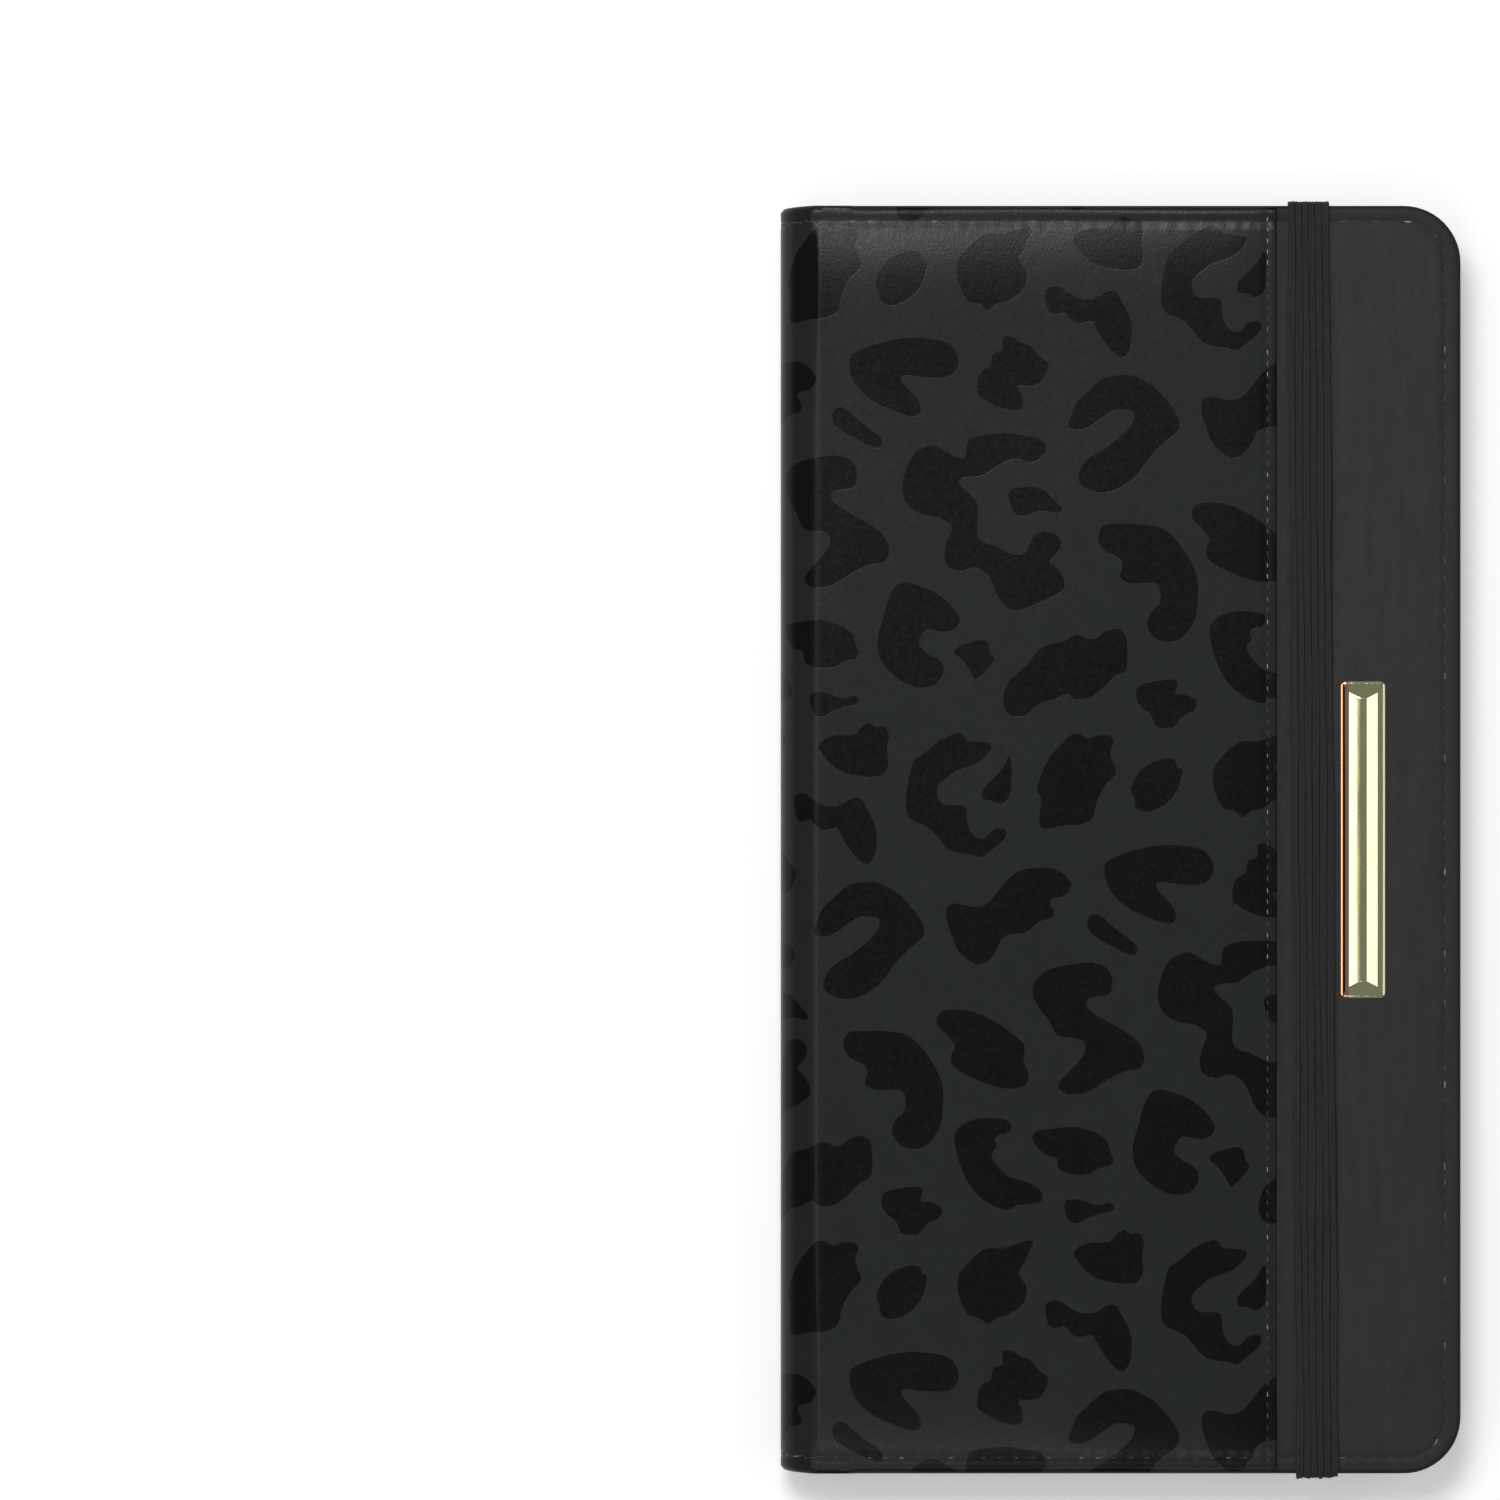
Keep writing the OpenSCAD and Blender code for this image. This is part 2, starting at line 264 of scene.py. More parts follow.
def mixed_colour(tree, share, first, second):
    made = node(tree, "ShaderNodeMix", data_type="RGBA")
    tree.links.new(share, made.inputs["Factor"])
    for key, value in (("A", first), ("B", second)):
        socket = [s for s in made.inputs if s.name == key and s.type == "RGBA"][0]
        if isinstance(value, tuple):
            socket.default_value = (*value, 1)
        else:
            tree.links.new(value, socket)
    return [s for s in made.outputs if s.type == "RGBA"][0]


def drive(tree, shader, **values):
    """Links values to the shader's sockets."""
    for key, value in values.items():
        tree.links.new(value, shader.inputs[key.replace("_", " ")])


def bumped(tree, shader, height, strength, depth):
    """Bump of a given depth in metres."""
    made = node(tree, "ShaderNodeBump", {"Strength": strength, "Distance": depth})
    tree.links.new(height, made.inputs["Height"])
    drive(tree, shader, Normal=made.outputs["Normal"])


def with_painted_shade(tree, colour):
    """Darkens a colour where its shade attribute is high: painted shade along seams, laps, creases, the
    spine's slope and the pocket mouths, and a dark line along the edges that is partly the edge's own colour
    and partly painted shade.
    """
    share = maths(tree, "MULTIPLY", attribute(tree, "painted_shade"), 0.7)
    return mixed_colour(tree, share, colour, (0.002, 0.002, 0.002))


def leather_grain(tree, cell_scale, fine_scale):
    """A pebble grain of cells with finer noise over it."""
    pebbles = maths(tree, "MULTIPLY", cells(tree, cell_scale), 0.7)
    return maths(tree, "ADD", pebbles, noise(tree, fine_scale, 2))


def printed_leather():
    """Satin base leather with darker printed spots, whose outline is the attribute spot."""
    material, tree, shader = principled("printed_leather", Specular_IOR_Level=0.17)
    mask = ranged(tree, attribute(tree, "spot"), -0.06, 0.06, 0, 1)
    satin = attribute(tree, "satin")
    mottle = noise(tree, 260, 4, 0.6)
    base = mixed_colour(tree, mottle, (0.0150, 0.0180, 0.0163), (0.0200, 0.0236, 0.0215))
    ink = mixed_colour(tree, mottle, (0.0010, 0.0007, 0.0014), (0.0026, 0.0020, 0.0034))
    rough = plus(tree, plus(tree, uneven(tree, 1500, 3, 0.20, 0.28), satin, 0.11), mask, 0.03)
    # Painted shade from the leather's shade attribute darkens the colour.
    drive(tree, shader, Base_Color=with_painted_shade(tree, mixed_colour(tree, mask, base, ink)), Roughness=rough)
    grain = maths(tree, "MULTIPLY", leather_grain(tree, 2600, 4600), ranged(tree, satin, 0, 1, 0.28, 1.1))
    bumped(tree, shader, plus(tree, grain, mask, -0.4), 0.45, 0.00005)
    return material


def plain_leather(name, dark, light, grain_depth=0.00005, streaks=0.0):
    """Matt plain leather with a fine pebble grain, and streaks along the spine's way."""
    material, tree, shader = principled(name, Specular_IOR_Level=0.125)
    tone = noise(tree, 340, 4, 0.6)
    grain = leather_grain(tree, 2300, 4300)
    if streaks:
        drawn = noise(tree, 700, 3, 0.6, stretch=(1, 0.12, 1))
        tone = plus(tree, maths(tree, "MULTIPLY", tone, 0.45), drawn, 0.55)
        grain = plus(tree, grain, noise(tree, 520, 2, 0.5, stretch=(1, 0.16, 1)), streaks)
    # Painted shade from the leather's shade attribute darkens the colour where it is set.
    colour = with_painted_shade(tree, mixed_colour(tree, tone, dark, light))
    drive(tree, shader, Base_Color=colour, Roughness=uneven(tree, 1100, 3, 0.48, 0.60))
    bumped(tree, shader, grain, 0.45, grain_depth)
    return material


def woven_elastic():
    """Ribbed elastic: fine cross threads, with shade painted into the grooves between the ribs."""
    looks = {"Specular_IOR_Level": 0.12, "Sheen_Weight": 0.06, "Sheen_Roughness": 0.6}
    material, tree, shader = principled("woven_elastic", **looks)
    weave = {"Scale": 520, "Distortion": 1.2, "Detail": 2}
    threads = texture(tree, "ShaderNodeTexWave", "Fac", weave, bands_direction="Y")
    lit = mixed_colour(tree, noise(tree, 700, 3), (0.0165, 0.0165, 0.0168), (0.0255, 0.0255, 0.0260))
    # Shade is painted into the grooves between the ribs.
    colour = mixed_colour(tree, attribute(tree, "groove_shade"), lit, (0.0030, 0.0030, 0.0032))
    drive(tree, shader, Base_Color=colour, Roughness=uneven(tree, 1500, 2, 0.62, 0.78))
    bumped(tree, shader, plus(tree, threads, noise(tree, 3000, 2)), 0.5, 0.00006)
    return material


def thread():
    """Waxed thread, from black to pale with its paleness attribute: the black parts are painted shade in the
    needle holes, and the palest threads are painted glints.
    """
    material, tree, shader = principled("thread", Specular_IOR_Level=0.5, Sheen_Weight=0.2)
    colour = mixed_colour(tree, attribute(tree, "shade_to_glint"), (0.001, 0.001, 0.001), (0.36, 0.36, 0.35))
    drive(tree, shader, Base_Color=colour, Roughness=uneven(tree, 2600, 2, 0.38, 0.55))
    twist = {"Scale": 900, "Distortion": 0.5}
    twisted = texture(tree, "ShaderNodeTexWave", "Fac", twist, bands_direction="DIAGONAL")
    bumped(tree, shader, twisted, 0.5, 0.00004)
    return material


# The bar's left side, where a coppery reflection is painted into the plate's colour
REFLECTION_FROM, REFLECTION_TO = BAR_LOW[0] + 1.05, BAR_LOW[0] + 1.25


def pale_gold():
    """Polished pale gold plate, with faint brushing and a little wear, and a coppery reflection painted along
    the left side.
    """
    material, tree, shader = principled("pale_gold", Metallic=1.0)
    plate = mixed_colour(tree, noise(tree, 160, 3), (0.78, 0.76, 0.42), (0.83, 0.80, 0.48))
    split = node(tree, "ShaderNodeSeparateXYZ")
    tree.links.new(object_coordinates(tree), split.inputs["Vector"])
    # A coppery reflection is painted into the colour along the bar's left side.
    painted_reflection = ranged(tree, split.outputs["X"], REFLECTION_FROM * MM, REFLECTION_TO * MM, 1, 0)
    rough = ranged(tree, noise(tree, 900, 4, 0.6, stretch=(1, 0.12, 1)), 0.35, 0.75, 0.07, 0.15)
    drive(tree, shader, Base_Color=mixed_colour(tree, painted_reflection, plate, (0.80, 0.46, 0.27)), Roughness=rough)
    bumped(tree, shader, noise(tree, 700, 2, 0.5, stretch=(1, 0.2, 1)), 0.10, 0.00002)
    return material


def mottled(name, tone, dark, light, rough, bump, **sockets):
    """A plain material. tone is its colour's noise, rough its roughness's noise and range, and bump
    its relief's noise, strength and depth."""
    material, tree, shader = principled(name, **sockets)
    colour = mixed_colour(tree, noise(tree, *tone), dark, light)
    drive(tree, shader, Base_Color=colour, Roughness=uneven(tree, *rough))
    scale, detail, strength, depth = bump
    bumped(tree, shader, noise(tree, scale, detail), strength, depth)
    return material


PRINTED = printed_leather()
PLAIN = plain_leather("plain_leather", (0.0165, 0.0165, 0.0168), (0.0375, 0.0375, 0.0380), streaks=4.5)
POCKET = plain_leather("pocket_leather", (0.0255, 0.0255, 0.0258), (0.0335, 0.0335, 0.0340))
LINING = plain_leather(
    "lining_leather", (0.0265, 0.0265, 0.0268), (0.0340, 0.0340, 0.0345), grain_depth=0.00004
)
# The leather's back, darkened to near black as painted shade of the pen slot's inside.
BACKING_AND_SLOT_SHADE = plain_leather("leather_back_and_slot_shade", (0.0050, 0.0050, 0.0052), (0.0085, 0.0085, 0.0088))
ELASTIC = woven_elastic()
THREAD = thread()
GOLD = pale_gold()
VINYL = mottled(
    "frosted_vinyl", (120, 3), (0.62, 0.63, 0.64), (0.70, 0.71, 0.72), (420, 3, 0.22, 0.36),
    (300, 2, 0.15, 0.00008), Specular_IOR_Level=0.5, IOR=1.45, Alpha=0.42,
)
BOARD = mottled(
    "raw_board", (900, 4, 0.7), (0.26, 0.20, 0.125), (0.38, 0.30, 0.20), (1500, 2, 0.8, 0.92),
    (2500, 3, 0.4, 0.0001),
)


# The print: rounded dark spots in a half-drop repeat

# Each outline runs clockwise, as X and Y on the front cover
SPOTS = {
    "apple": [
        (-7.1, 15.1), (-5.9, 15.2), (-4.7, 14.5), (-3.6, 14.9), (-1.7, 15), (-0.9, 14), (-1.5, 12.4),
        (-0.6, 10), (-0.9, 9), (-2.2, 7.8), (-3.4, 5.4), (-3.7, 3.8), (-4.3, 2.7), (-6, 2.1), (-8.2, 2),
        (-10.8, 1.5), (-11.7, 2.3), (-11.4, 5.9), (-12, 7.1), (-11.4, 9.3), (-10.1, 11.9), (-8.4, 13.8),
    ],
    "oval": [
        (7.2, 11.7), (7.9, 11.3), (8.1, 10.4), (8.9, 10.1), (8.5, 8), (7.5, 6), (5.7, 4.5), (3.6, 3.9),
        (2.1, 4.7), (2.1, 6), (1.5, 7.1), (2.4, 9.3), (3.8, 10.7), (5.5, 11.4),
    ],
    "round": [
        (-23.4, -63), (-22.9, -62), (-21.4, -60.3), (-19.8, -59), (-18.7, -58.7), (-17, -58.8),
        (-15.4, -58.3), (-12.5, -57.6), (-13.3, -59.5), (-13.8, -61), (-14.7, -62.3), (-13.5, -64.3),
        (-13.9, -66.6), (-16, -68.3), (-17.9, -68.8), (-19, -69.8), (-20.2, -68.8), (-22, -68.3),
        (-23.3, -65.4),
    ],
    "pear": [
        (-43.5, 13.4), (-42.4, 14.5), (-40.8, 15), (-38.4, 15), (-37.4, 16), (-36.2, 16.8), (-35.2, 16.2),
        (-34, 16.3), (-33.3, 15), (-33.6, 13.1), (-33.4, 10.9), (-34, 9.4), (-35.5, 9), (-37.9, 9.2),
        (-40.1, 9.8), (-41.7, 10.9), (-42.8, 12.2),
    ],
    "seal": [
        (-47.5, 5.9), (-46.5, 6.6), (-45.3, 6.5), (-43.9, 5.5), (-42.2, 4.8), (-40.3, 4.9), (-38.9, 5.8),
        (-37.5, 6), (-36.5, 4.5), (-35.5, 2.5), (-35.1, 0.9), (-35.2, -1.8), (-35.9, -3.3), (-36.6, -3.6),
        (-37.8, -2.8), (-39, -1.3), (-40.1, 0.5), (-40.8, 1.7), (-42.6, 1.3), (-43.8, 1.9), (-44.7, 2.9),
        (-46.1, 2.6), (-47.1, 3.2),
    ],
    "hook": [
        (-23.5, 15.3), (-22.7, 15.1), (-22, 14.2), (-19.9, 14), (-18.5, 13.6), (-19, 12.3), (-20.9, 10.8),
        (-23.5, 9.9), (-25, 8.8), (-26.3, 7.6), (-26.3, 6.1), (-25.3, 5), (-22.3, 4.8), (-22.1, 2.8),
        (-21.5, 1.1), (-20.6, 0.2), (-19.4, 0.2), (-18.5, 1.3), (-17, 1.7), (-16.4, 1), (-16.8, -0.1),
        (-18.5, -1.5), (-19.9, -2.6), (-21.4, -2.2), (-23.5, -1.9), (-25, -1.2), (-26.3, 0.4),
        (-27.8, 1.8), (-30, 2.8), (-30.8, 4), (-30.8, 6.4), (-30.4, 8.8), (-29.8, 11.2), (-29, 11.9),
        (-27.6, 12.9), (-25.9, 14.3),
    ],
    "triangle": [
        (-16, 12), (-15.7, 10.9), (-15.8, 6.6), (-16.5, 5.5), (-17.4, 5.1), (-18.3, 5.6), (-19.8, 5.8),
        (-19.8, 7.1), (-19.2, 7.9), (-18, 9), (-16.9, 10.3),
    ],
    "boomerang": [
        (-2.3, -3.7), (-1.5, -2.9), (0.5, -2), (3.3, -1.2), (5.7, -0.8), (8.1, -0.8), (11, -1.2),
        (12.5, -2), (13.3, -3.4), (13.4, -4.7), (12.6, -6), (11.2, -6.5), (8.1, -6.4), (5.7, -6.1),
        (5.1, -6.8), (6, -8), (7.4, -9.4), (8, -10.9), (7.7, -11.9), (6.2, -12), (3.8, -11.1),
        (1.2, -9.9), (-1, -8), (-2.1, -5.9),
    ],
    "lumpy": [
        (-17, 71.9), (-16.6, 72.4), (-15.4, 72.2), (-14.4, 71.5), (-13, 71), (-11.8, 69.6), (-10.5, 68.6),
        (-10.5, 67.5), (-11.3, 65.9), (-12.7, 65.2), (-15, 65.3), (-14.3, 64.2), (-14, 62.8),
        (-14.4, 61.7), (-15.6, 61.7), (-17.8, 62.3), (-19.9, 63.5), (-20.6, 64.2), (-20.5, 66.1),
        (-19.9, 67.5), (-18.6, 68.1), (-18.5, 69.5), (-17.9, 70.1), (-16.9, 70.3),
    ],
    "question": [
        (-7.5, 59.4), (-7.1, 60.8), (-6.3, 62.8), (-4.8, 64.3), (-2.9, 66), (-1.5, 66.6), (1.4, 66.8),
        (3.1, 66.1), (4.8, 65.1), (6.7, 63.1), (8.1, 61.1), (8.5, 59.6), (8.1, 58.6), (6.4, 57.2),
        (4.8, 55.6), (3.8, 54.4), (2.4, 52.4), (0.5, 50.9), (-1, 50.2), (-2.9, 49.9), (-4.6, 50.4),
        (-5.7, 51.1), (-6, 52.4), (-5.2, 54.2), (-3.4, 55.6), (-1.9, 56.4), (0, 58), (1.6, 59.6),
        (2.1, 61.1), (1.4, 61.7), (-0.7, 61.8), (-2.4, 60.8), (-4.1, 59.6), (-5.8, 58.9),
    ],
    "fish": [
        (-25, -10), (-24.2, -9.2), (-23, -9.3), (-20.6, -9.7), (-19, -9.1), (-17.5, -7.3), (-15.8, -5.3),
        (-14, -4.3), (-12, -4.1), (-10, -4.1), (-8.4, -4.8), (-7.3, -5.9), (-7.1, -6.8), (-8, -8.1),
        (-9.8, -8.5), (-10.2, -9.2), (-9.5, -10.3), (-9.8, -11.3), (-11.5, -11.7), (-12.5, -12.5),
        (-13.5, -13.4), (-15.4, -13.6), (-17, -14.2), (-17.8, -15.9), (-18.7, -17.2), (-19.8, -17.9),
        (-21, -17.9), (-22.2, -17.1), (-23.4, -15.9), (-24.2, -14), (-24.9, -12),
    ],
    "slug": [
        (-4.7, -11.4), (-4, -10.8), (-2.9, -10.9), (-1, -12.6), (1.4, -14.4), (2.4, -15.4), (2.4, -16.4),
        (1.5, -16.6), (0, -16), (-3.4, -14.1), (-4.6, -12.9),
    ],
    "seahorse": [
        (-27.1, 56.7), (-25.9, 56.3), (-23.8, 55.1), (-22.3, 54.9), (-22.1, 56.8), (-21.4, 57.7),
        (-19.7, 58.2), (-16.1, 58.4), (-13.4, 58), (-11.8, 57.7), (-10.6, 56.5), (-11.2, 55.1),
        (-13, 54.2), (-15, 54.8), (-17.5, 53.9), (-19.4, 52.6), (-20.6, 52.2), (-22.5, 52.1),
        (-23.3, 51.4), (-22.5, 50.4), (-21.1, 49.1), (-20.5, 47.9), (-20.6, 43.8), (-19.4, 42.6),
        (-18, 42.2), (-15.6, 41), (-13.7, 41.2), (-13, 42.6), (-12.5, 43.6), (-11.3, 44.2), (-9.4, 43.9),
        (-8.5, 42.6), (-9.1, 41.2), (-10.3, 40), (-9, 38.9), (-8, 37), (-8.4, 35.8), (-10.3, 34.7),
        (-13, 33.5), (-14.6, 32.9), (-16.3, 33.3), (-17.5, 34.8), (-18.7, 37.6), (-20.2, 38.9),
        (-21.4, 39.1), (-22.8, 38.6), (-24.7, 39.1), (-25.3, 40.7), (-25, 42.8), (-24.2, 44.8),
        (-25, 45.7), (-26.2, 46.3), (-28.1, 46.6), (-30, 47.5), (-31.1, 49.1), (-31.3, 51.2),
        (-30.7, 53.6), (-29.5, 55.7),
    ],
    "zed": [
        (-5.1, -17.7), (-3.4, -17.8), (-2.2, -18.3), (-1.3, -19.5), (-1.2, -21.2), (-1.7, -22.3),
        (-3.6, -22.6), (-4.8, -23.1), (-4.9, -23.9), (-4.1, -24.8), (-2.4, -25.9), (-0.5, -26.9),
        (1.4, -28.1), (2.7, -29.3), (3.4, -31), (3.2, -32.5), (2.4, -33.1), (0.5, -33.4), (-1.9, -34.6),
        (-3.9, -35.9), (-5.8, -36.6), (-7.7, -36.6), (-8.8, -35.8), (-8.8, -34.9), (-7.2, -33.2),
        (-5.5, -31.3), (-5, -29.8), (-5.8, -28.7), (-8.2, -28.4), (-9.4, -27.8), (-10.3, -26),
        (-11.8, -24.1), (-12.6, -22.4), (-12.5, -20.7), (-11.3, -19.3), (-9.4, -18.4),
    ],
    "comma": [
        (-16.1, 49.5), (-15.7, 50.3), (-14.6, 50.6), (-12, 50.7), (-10.5, 49.8), (-9.4, 48.6),
        (-8.4, 47.8), (-8.7, 46.9), (-10.3, 47.2), (-12, 47.2), (-13, 46.7), (-14.4, 46.5), (-15.5, 47.4),
    ],
    "leaf": [
        (-26.1, -25), (-25, -24.5), (-22.3, -24.5), (-20.2, -25.1), (-17.5, -26.5), (-15.6, -27.9),
        (-14, -29.3), (-13.8, -30.1), (-13.9, -32), (-13.3, -33.4), (-13.2, -34.4), (-13.9, -35.5),
        (-15.8, -35.9), (-18.2, -35.5), (-20.6, -34.6), (-23, -33.4), (-24.3, -32.3), (-24.3, -30.8),
        (-23.8, -29.7), (-25, -28.1), (-26.3, -26.8), (-26.4, -25.7),
    ],
    "boot": [
        (-3.1, 42.8), (-3, 44.3), (-2.2, 45.3), (0.5, 45.4), (3.3, 45.3), (5.7, 44.9), (7.4, 43.7),
        (9.3, 41.4), (10.7, 38.8), (11.2, 36.8), (11.1, 34.2), (10.8, 31.8), (9.8, 29.9), (8.4, 28.7),
        (6.7, 28.4), (4.9, 29), (4, 30.4), (3.9, 31.6), (4.7, 33.1), (5.6, 33.7), (5.8, 35.2),
        (5.5, 36.5), (4.5, 36.9), (1.9, 36.8), (0.5, 37.2), (-0.1, 37.9), (0.3, 39.5), (-0.3, 40.6),
        (-1.9, 41.3),
    ],
    "left_c": [
        (-32.4, 36.4), (-31, 37), (-29.7, 36.7), (-27.2, 35.8), (-25, 34.3), (-23.5, 32.5), (-23.1, 31.3),
        (-23.8, 30.2), (-25.3, 29.8), (-27.8, 30.2), (-28.6, 29.2), (-29, 28), (-27.8, 26.8),
        (-26.1, 25.8), (-25.4, 24.6), (-25.8, 23.2), (-26.6, 22.2), (-28.5, 21.8), (-30.2, 22.1),
        (-32.1, 23.2), (-34.1, 25.1), (-34.9, 27.2), (-34.8, 29.6), (-34.1, 31.8), (-33.5, 34.2),
    ],
    "blob": [
        (-12.7, -42.5), (-12, -41.9), (-10.1, -41.6), (-7, -41.3), (-5.1, -41.6), (-3.1, -42.4),
        (-1.9, -43.4), (-1.5, -44.7), (-1, -46.1), (-1.2, -46.8), (-3.4, -47.4), (-4.3, -48.1),
        (-6.5, -48.2), (-8.2, -47.8), (-9.1, -47), (-9.1, -45.9), (-10.8, -45.3), (-12.2, -44),
    ],
    "tadpole": [
        (-44.7, 20.9), (-43.2, 21.2), (-41.8, 20.9), (-40.5, 20.4), (-39.3, 20.4), (-38.4, 20.7),
        (-37.5, 20.2), (-38, 19.4), (-39.6, 19.1), (-41.5, 18.4), (-42.7, 17.7), (-43.9, 17.9),
        (-44.6, 19.2),
    ],
    "diamond": [
        (-24, 27), (-23.1, 27.8), (-21.4, 28.4), (-19.9, 28.7), (-19, 28.2), (-18.7, 26.8), (-18.1, 25.8),
        (-19.2, 24.4), (-20.3, 23.2), (-21, 23.1), (-21.8, 24.6), (-22.8, 25.9),
    ],
    "island": [
        (-12.5, 26.3), (-11.5, 27.5), (-9.9, 28.1), (-8.2, 28.5), (-7, 29.2), (-5.8, 29.4), (-4.6, 28.9),
        (-3.4, 28.9), (-2.4, 29.8), (-1, 30.3), (0.2, 30), (0.9, 28.9), (0.9, 24.6), (-0.3, 23.8),
        (-1.1, 23.2), (-3.4, 21), (-5.1, 20.2), (-6.7, 20.2), (-7.6, 21), (-9.4, 20.2), (-11.5, 19.6),
        (-13, 18.4), (-13.7, 17.8), (-15.7, 17.8), (-16.8, 19.2), (-16.7, 21), (-16.1, 22.7),
        (-15.4, 23.4), (-14.2, 24.4), (-13, 25.6),
    ],
    "why": [
        (2.3, 21.5), (3, 22.3), (5.3, 22.8), (7.7, 23), (8.3, 22.2), (7.8, 21), (9.3, 20.8), (10.7, 20.2),
        (11, 19.2), (10.3, 18.3), (8.8, 17.6), (7.9, 16.3), (6.7, 16), (5.1, 16.3), (4.4, 18), (3.1, 19),
        (2.3, 20.3),
    ],
    "right_c": [
        (-23.9, -43), (-23.4, -41.6), (-22.3, -40.7), (-20.4, -40.1), (-17.8, -40.1), (-16.2, -40.4),
        (-15.7, -41.3), (-16.2, -42.2), (-17.6, -42.5), (-18.1, -43.2), (-17.8, -44.2), (-18.6, -45.3),
        (-17.8, -46.8), (-16.3, -48.3), (-15, -48.8), (-12.8, -49.5), (-11.3, -50.8), (-11.5, -52.2),
        (-14.8, -52.6), (-16.4, -53.3), (-19.3, -52.1), (-21.7, -49.7), (-23.2, -46.4),
    ],
}
REPEAT_X = 36.7
REPEAT_Y = 145.8
# The field of a spot is cut off at this distance from its outline
FAR = 1.5
# Steps from each point of an outline to the next
CURVE_STEPS = 3


def rounded_outline(outline):
    """The outline as a closed curve through its points, with a few steps from each to the next."""
    p = np.array(outline, float)
    before, after, beyond = np.roll(p, 1, 0), np.roll(p, -1, 0), np.roll(p, -2, 0)
    t = (np.arange(CURVE_STEPS) / CURVE_STEPS)[None, :, None]
    a, b, c, d = (v[:, None, :] for v in (before, p, after, beyond))
    curve = 0.5 * (2 * b + (c - a) * t + (2 * a - 5 * b + 4 * c - d) * t**2 + (3 * b - a - 3 * c + d) * t**3)
    return curve.reshape(-1, 2)


def signed_distance(points, outline):
    """How far inside the outline each point is, and negative outside it."""
    start, end = outline, np.roll(outline, -1, 0)
    way = end - start
    to = points[:, None, :] - start[None]
    share = np.clip((to * way).sum(2) / (way**2).sum(1), 0, 1)
    away = np.sqrt(((to - share[..., None] * way) ** 2).sum(2)).min(1)
    x, y = points[:, :1], points[:, 1:]
    crosses = (start[:, 1] > y) != (end[:, 1] > y)
    rise = np.where(way[:, 1] == 0, 1e-9, way[:, 1])
    left_of = x < start[:, 0] + (y - start[:, 1]) * way[:, 0] / rise
    inside = (crosses & left_of).sum(1) % 2 == 1
    return np.where(inside, away, -away)


def spot_field(points):
    """The print's signed distance at points laid flat, with X carried on round the spine."""
    points = np.asarray(points, float)
    field = np.full(len(points), -FAR)
    low, high = points.min(0) - FAR, points.max(0) + FAR
    for outline in SPOTS.values():
        shape = rounded_outline(outline)
        for i in range(-6, 4):
            for j in range(-2, 3):
                moved = shape + (i * REPEAT_X, j * REPEAT_Y + (i % 2) * REPEAT_Y / 2)
                if (moved.max(0) < low).any() or (moved.min(0) > high).any():
                    continue
                near = ((points > moved.min(0) - FAR) & (points < moved.max(0) + FAR)).all(1)
                if near.any():
                    field[near] = np.maximum(field[near], signed_distance(points[near], moved))
    return np.clip(field, -FAR, FAR)


# Leather

# Rise of the front's padding beside the spine, and the depths of a seam's pinch and puckers
PAD = 0.80
PINCH = 0.17
PUCKER = 0.036
# How far inside its seam a panel's crown is up, and how far inside it has fallen again
CROWN_RISE = 4.6
CROWN_FALL = 17


def rim_height(d, along, pad):
    """Height of padded leather at distance d inside its edge: the seam's pinch and the padding's crown."""
    inside = np.clip(d - SEAM_INSET, 0, None)
    pinch = PINCH * bump_at(d, SEAM_INSET, 0.40)
    uneven_rise = 0.75 + 0.45 * np.sin(along * 0.83 + 1.3 * np.sin(along * 0.21))
    gathers = np.cos(2 * math.pi * along / STITCH_PITCH + 0.9 * np.sin(along * 0.37))
    pucker = PUCKER * uneven_rise * gathers * bump_at(d, SEAM_INSET + 0.5, 0.6)
    crown = pad * (1 - np.exp(-inside / CROWN_RISE)) * (0.25 + 0.75 * np.exp(-((inside / CROWN_FALL) ** 2)))
    return crown - pinch + pucker


def edge_and_seam_shade(d):
    """How much shade is painted into the leather: strongly at its very edge, a dark line that is partly the
    edge's own colour and partly painted shade, and a little outside its seam, as painted shade.
    """
    rim = 0.22 * (1 - smoothstep(SEAM_INSET - 0.3, SEAM_INSET + 0.6, d))
    return rim + 0.65 * (1 - smoothstep(0.05, 0.55, d))


def satin_share(x, d):
    """How worn to a satin the patterned leather is: most beside its seams, near the spine."""
    return np.exp(-np.clip(d - SEAM_INSET, 0, None) / 6) * (1 - 0.55 * smoothstep(-25, 15, x))


def padding(x):
    """How far the padding rises: most beside the spine, least towards the lap."""
    return PAD * (1 - 0.6 * smoothstep(-30, 18, x)) * smoothstep(0.5, 7, SEAM_X - x)


def print_height(x, y, lies):
    """Height of the patterned leather above its flat face. On the cover that lies down nothing rises."""
    lap = SEAM_X - x
    near_fold = smoothstep(FOLD_X, FOLD_X + 4, x)
    height = rim_height(TOP_Y - np.abs(y), x, 0 if lies else padding(x))
    height = height + near_fold * 0.05 * waves(x, y, 38, 3)
    height = height - 0.14 * bump_at(lap, LAP_SEAM_INSET, 0.35) * near_fold
    height = height - 0.24 * np.clip(1 - lap / 0.45, 0, 1) ** 2
    return np.minimum(height, 0) if lies else height


def print_painted_shade(x, y):
    """Painted shade on the patterned leather along its edges and along its lap."""
    lap = SEAM_X - x
    # Painted shade on the lap's strip outside its seam, darkest at the lap's edge.
    beside = 0.30 * (1 - smoothstep(LAP_SEAM_INSET - 0.1, LAP_SEAM_INSET + 0.3, lap))
    return np.clip(edge_and_seam_shade(TOP_Y - np.abs(y)) + beside + 0.4 * (1 - smoothstep(0, 0.3, lap)), 0, 1)


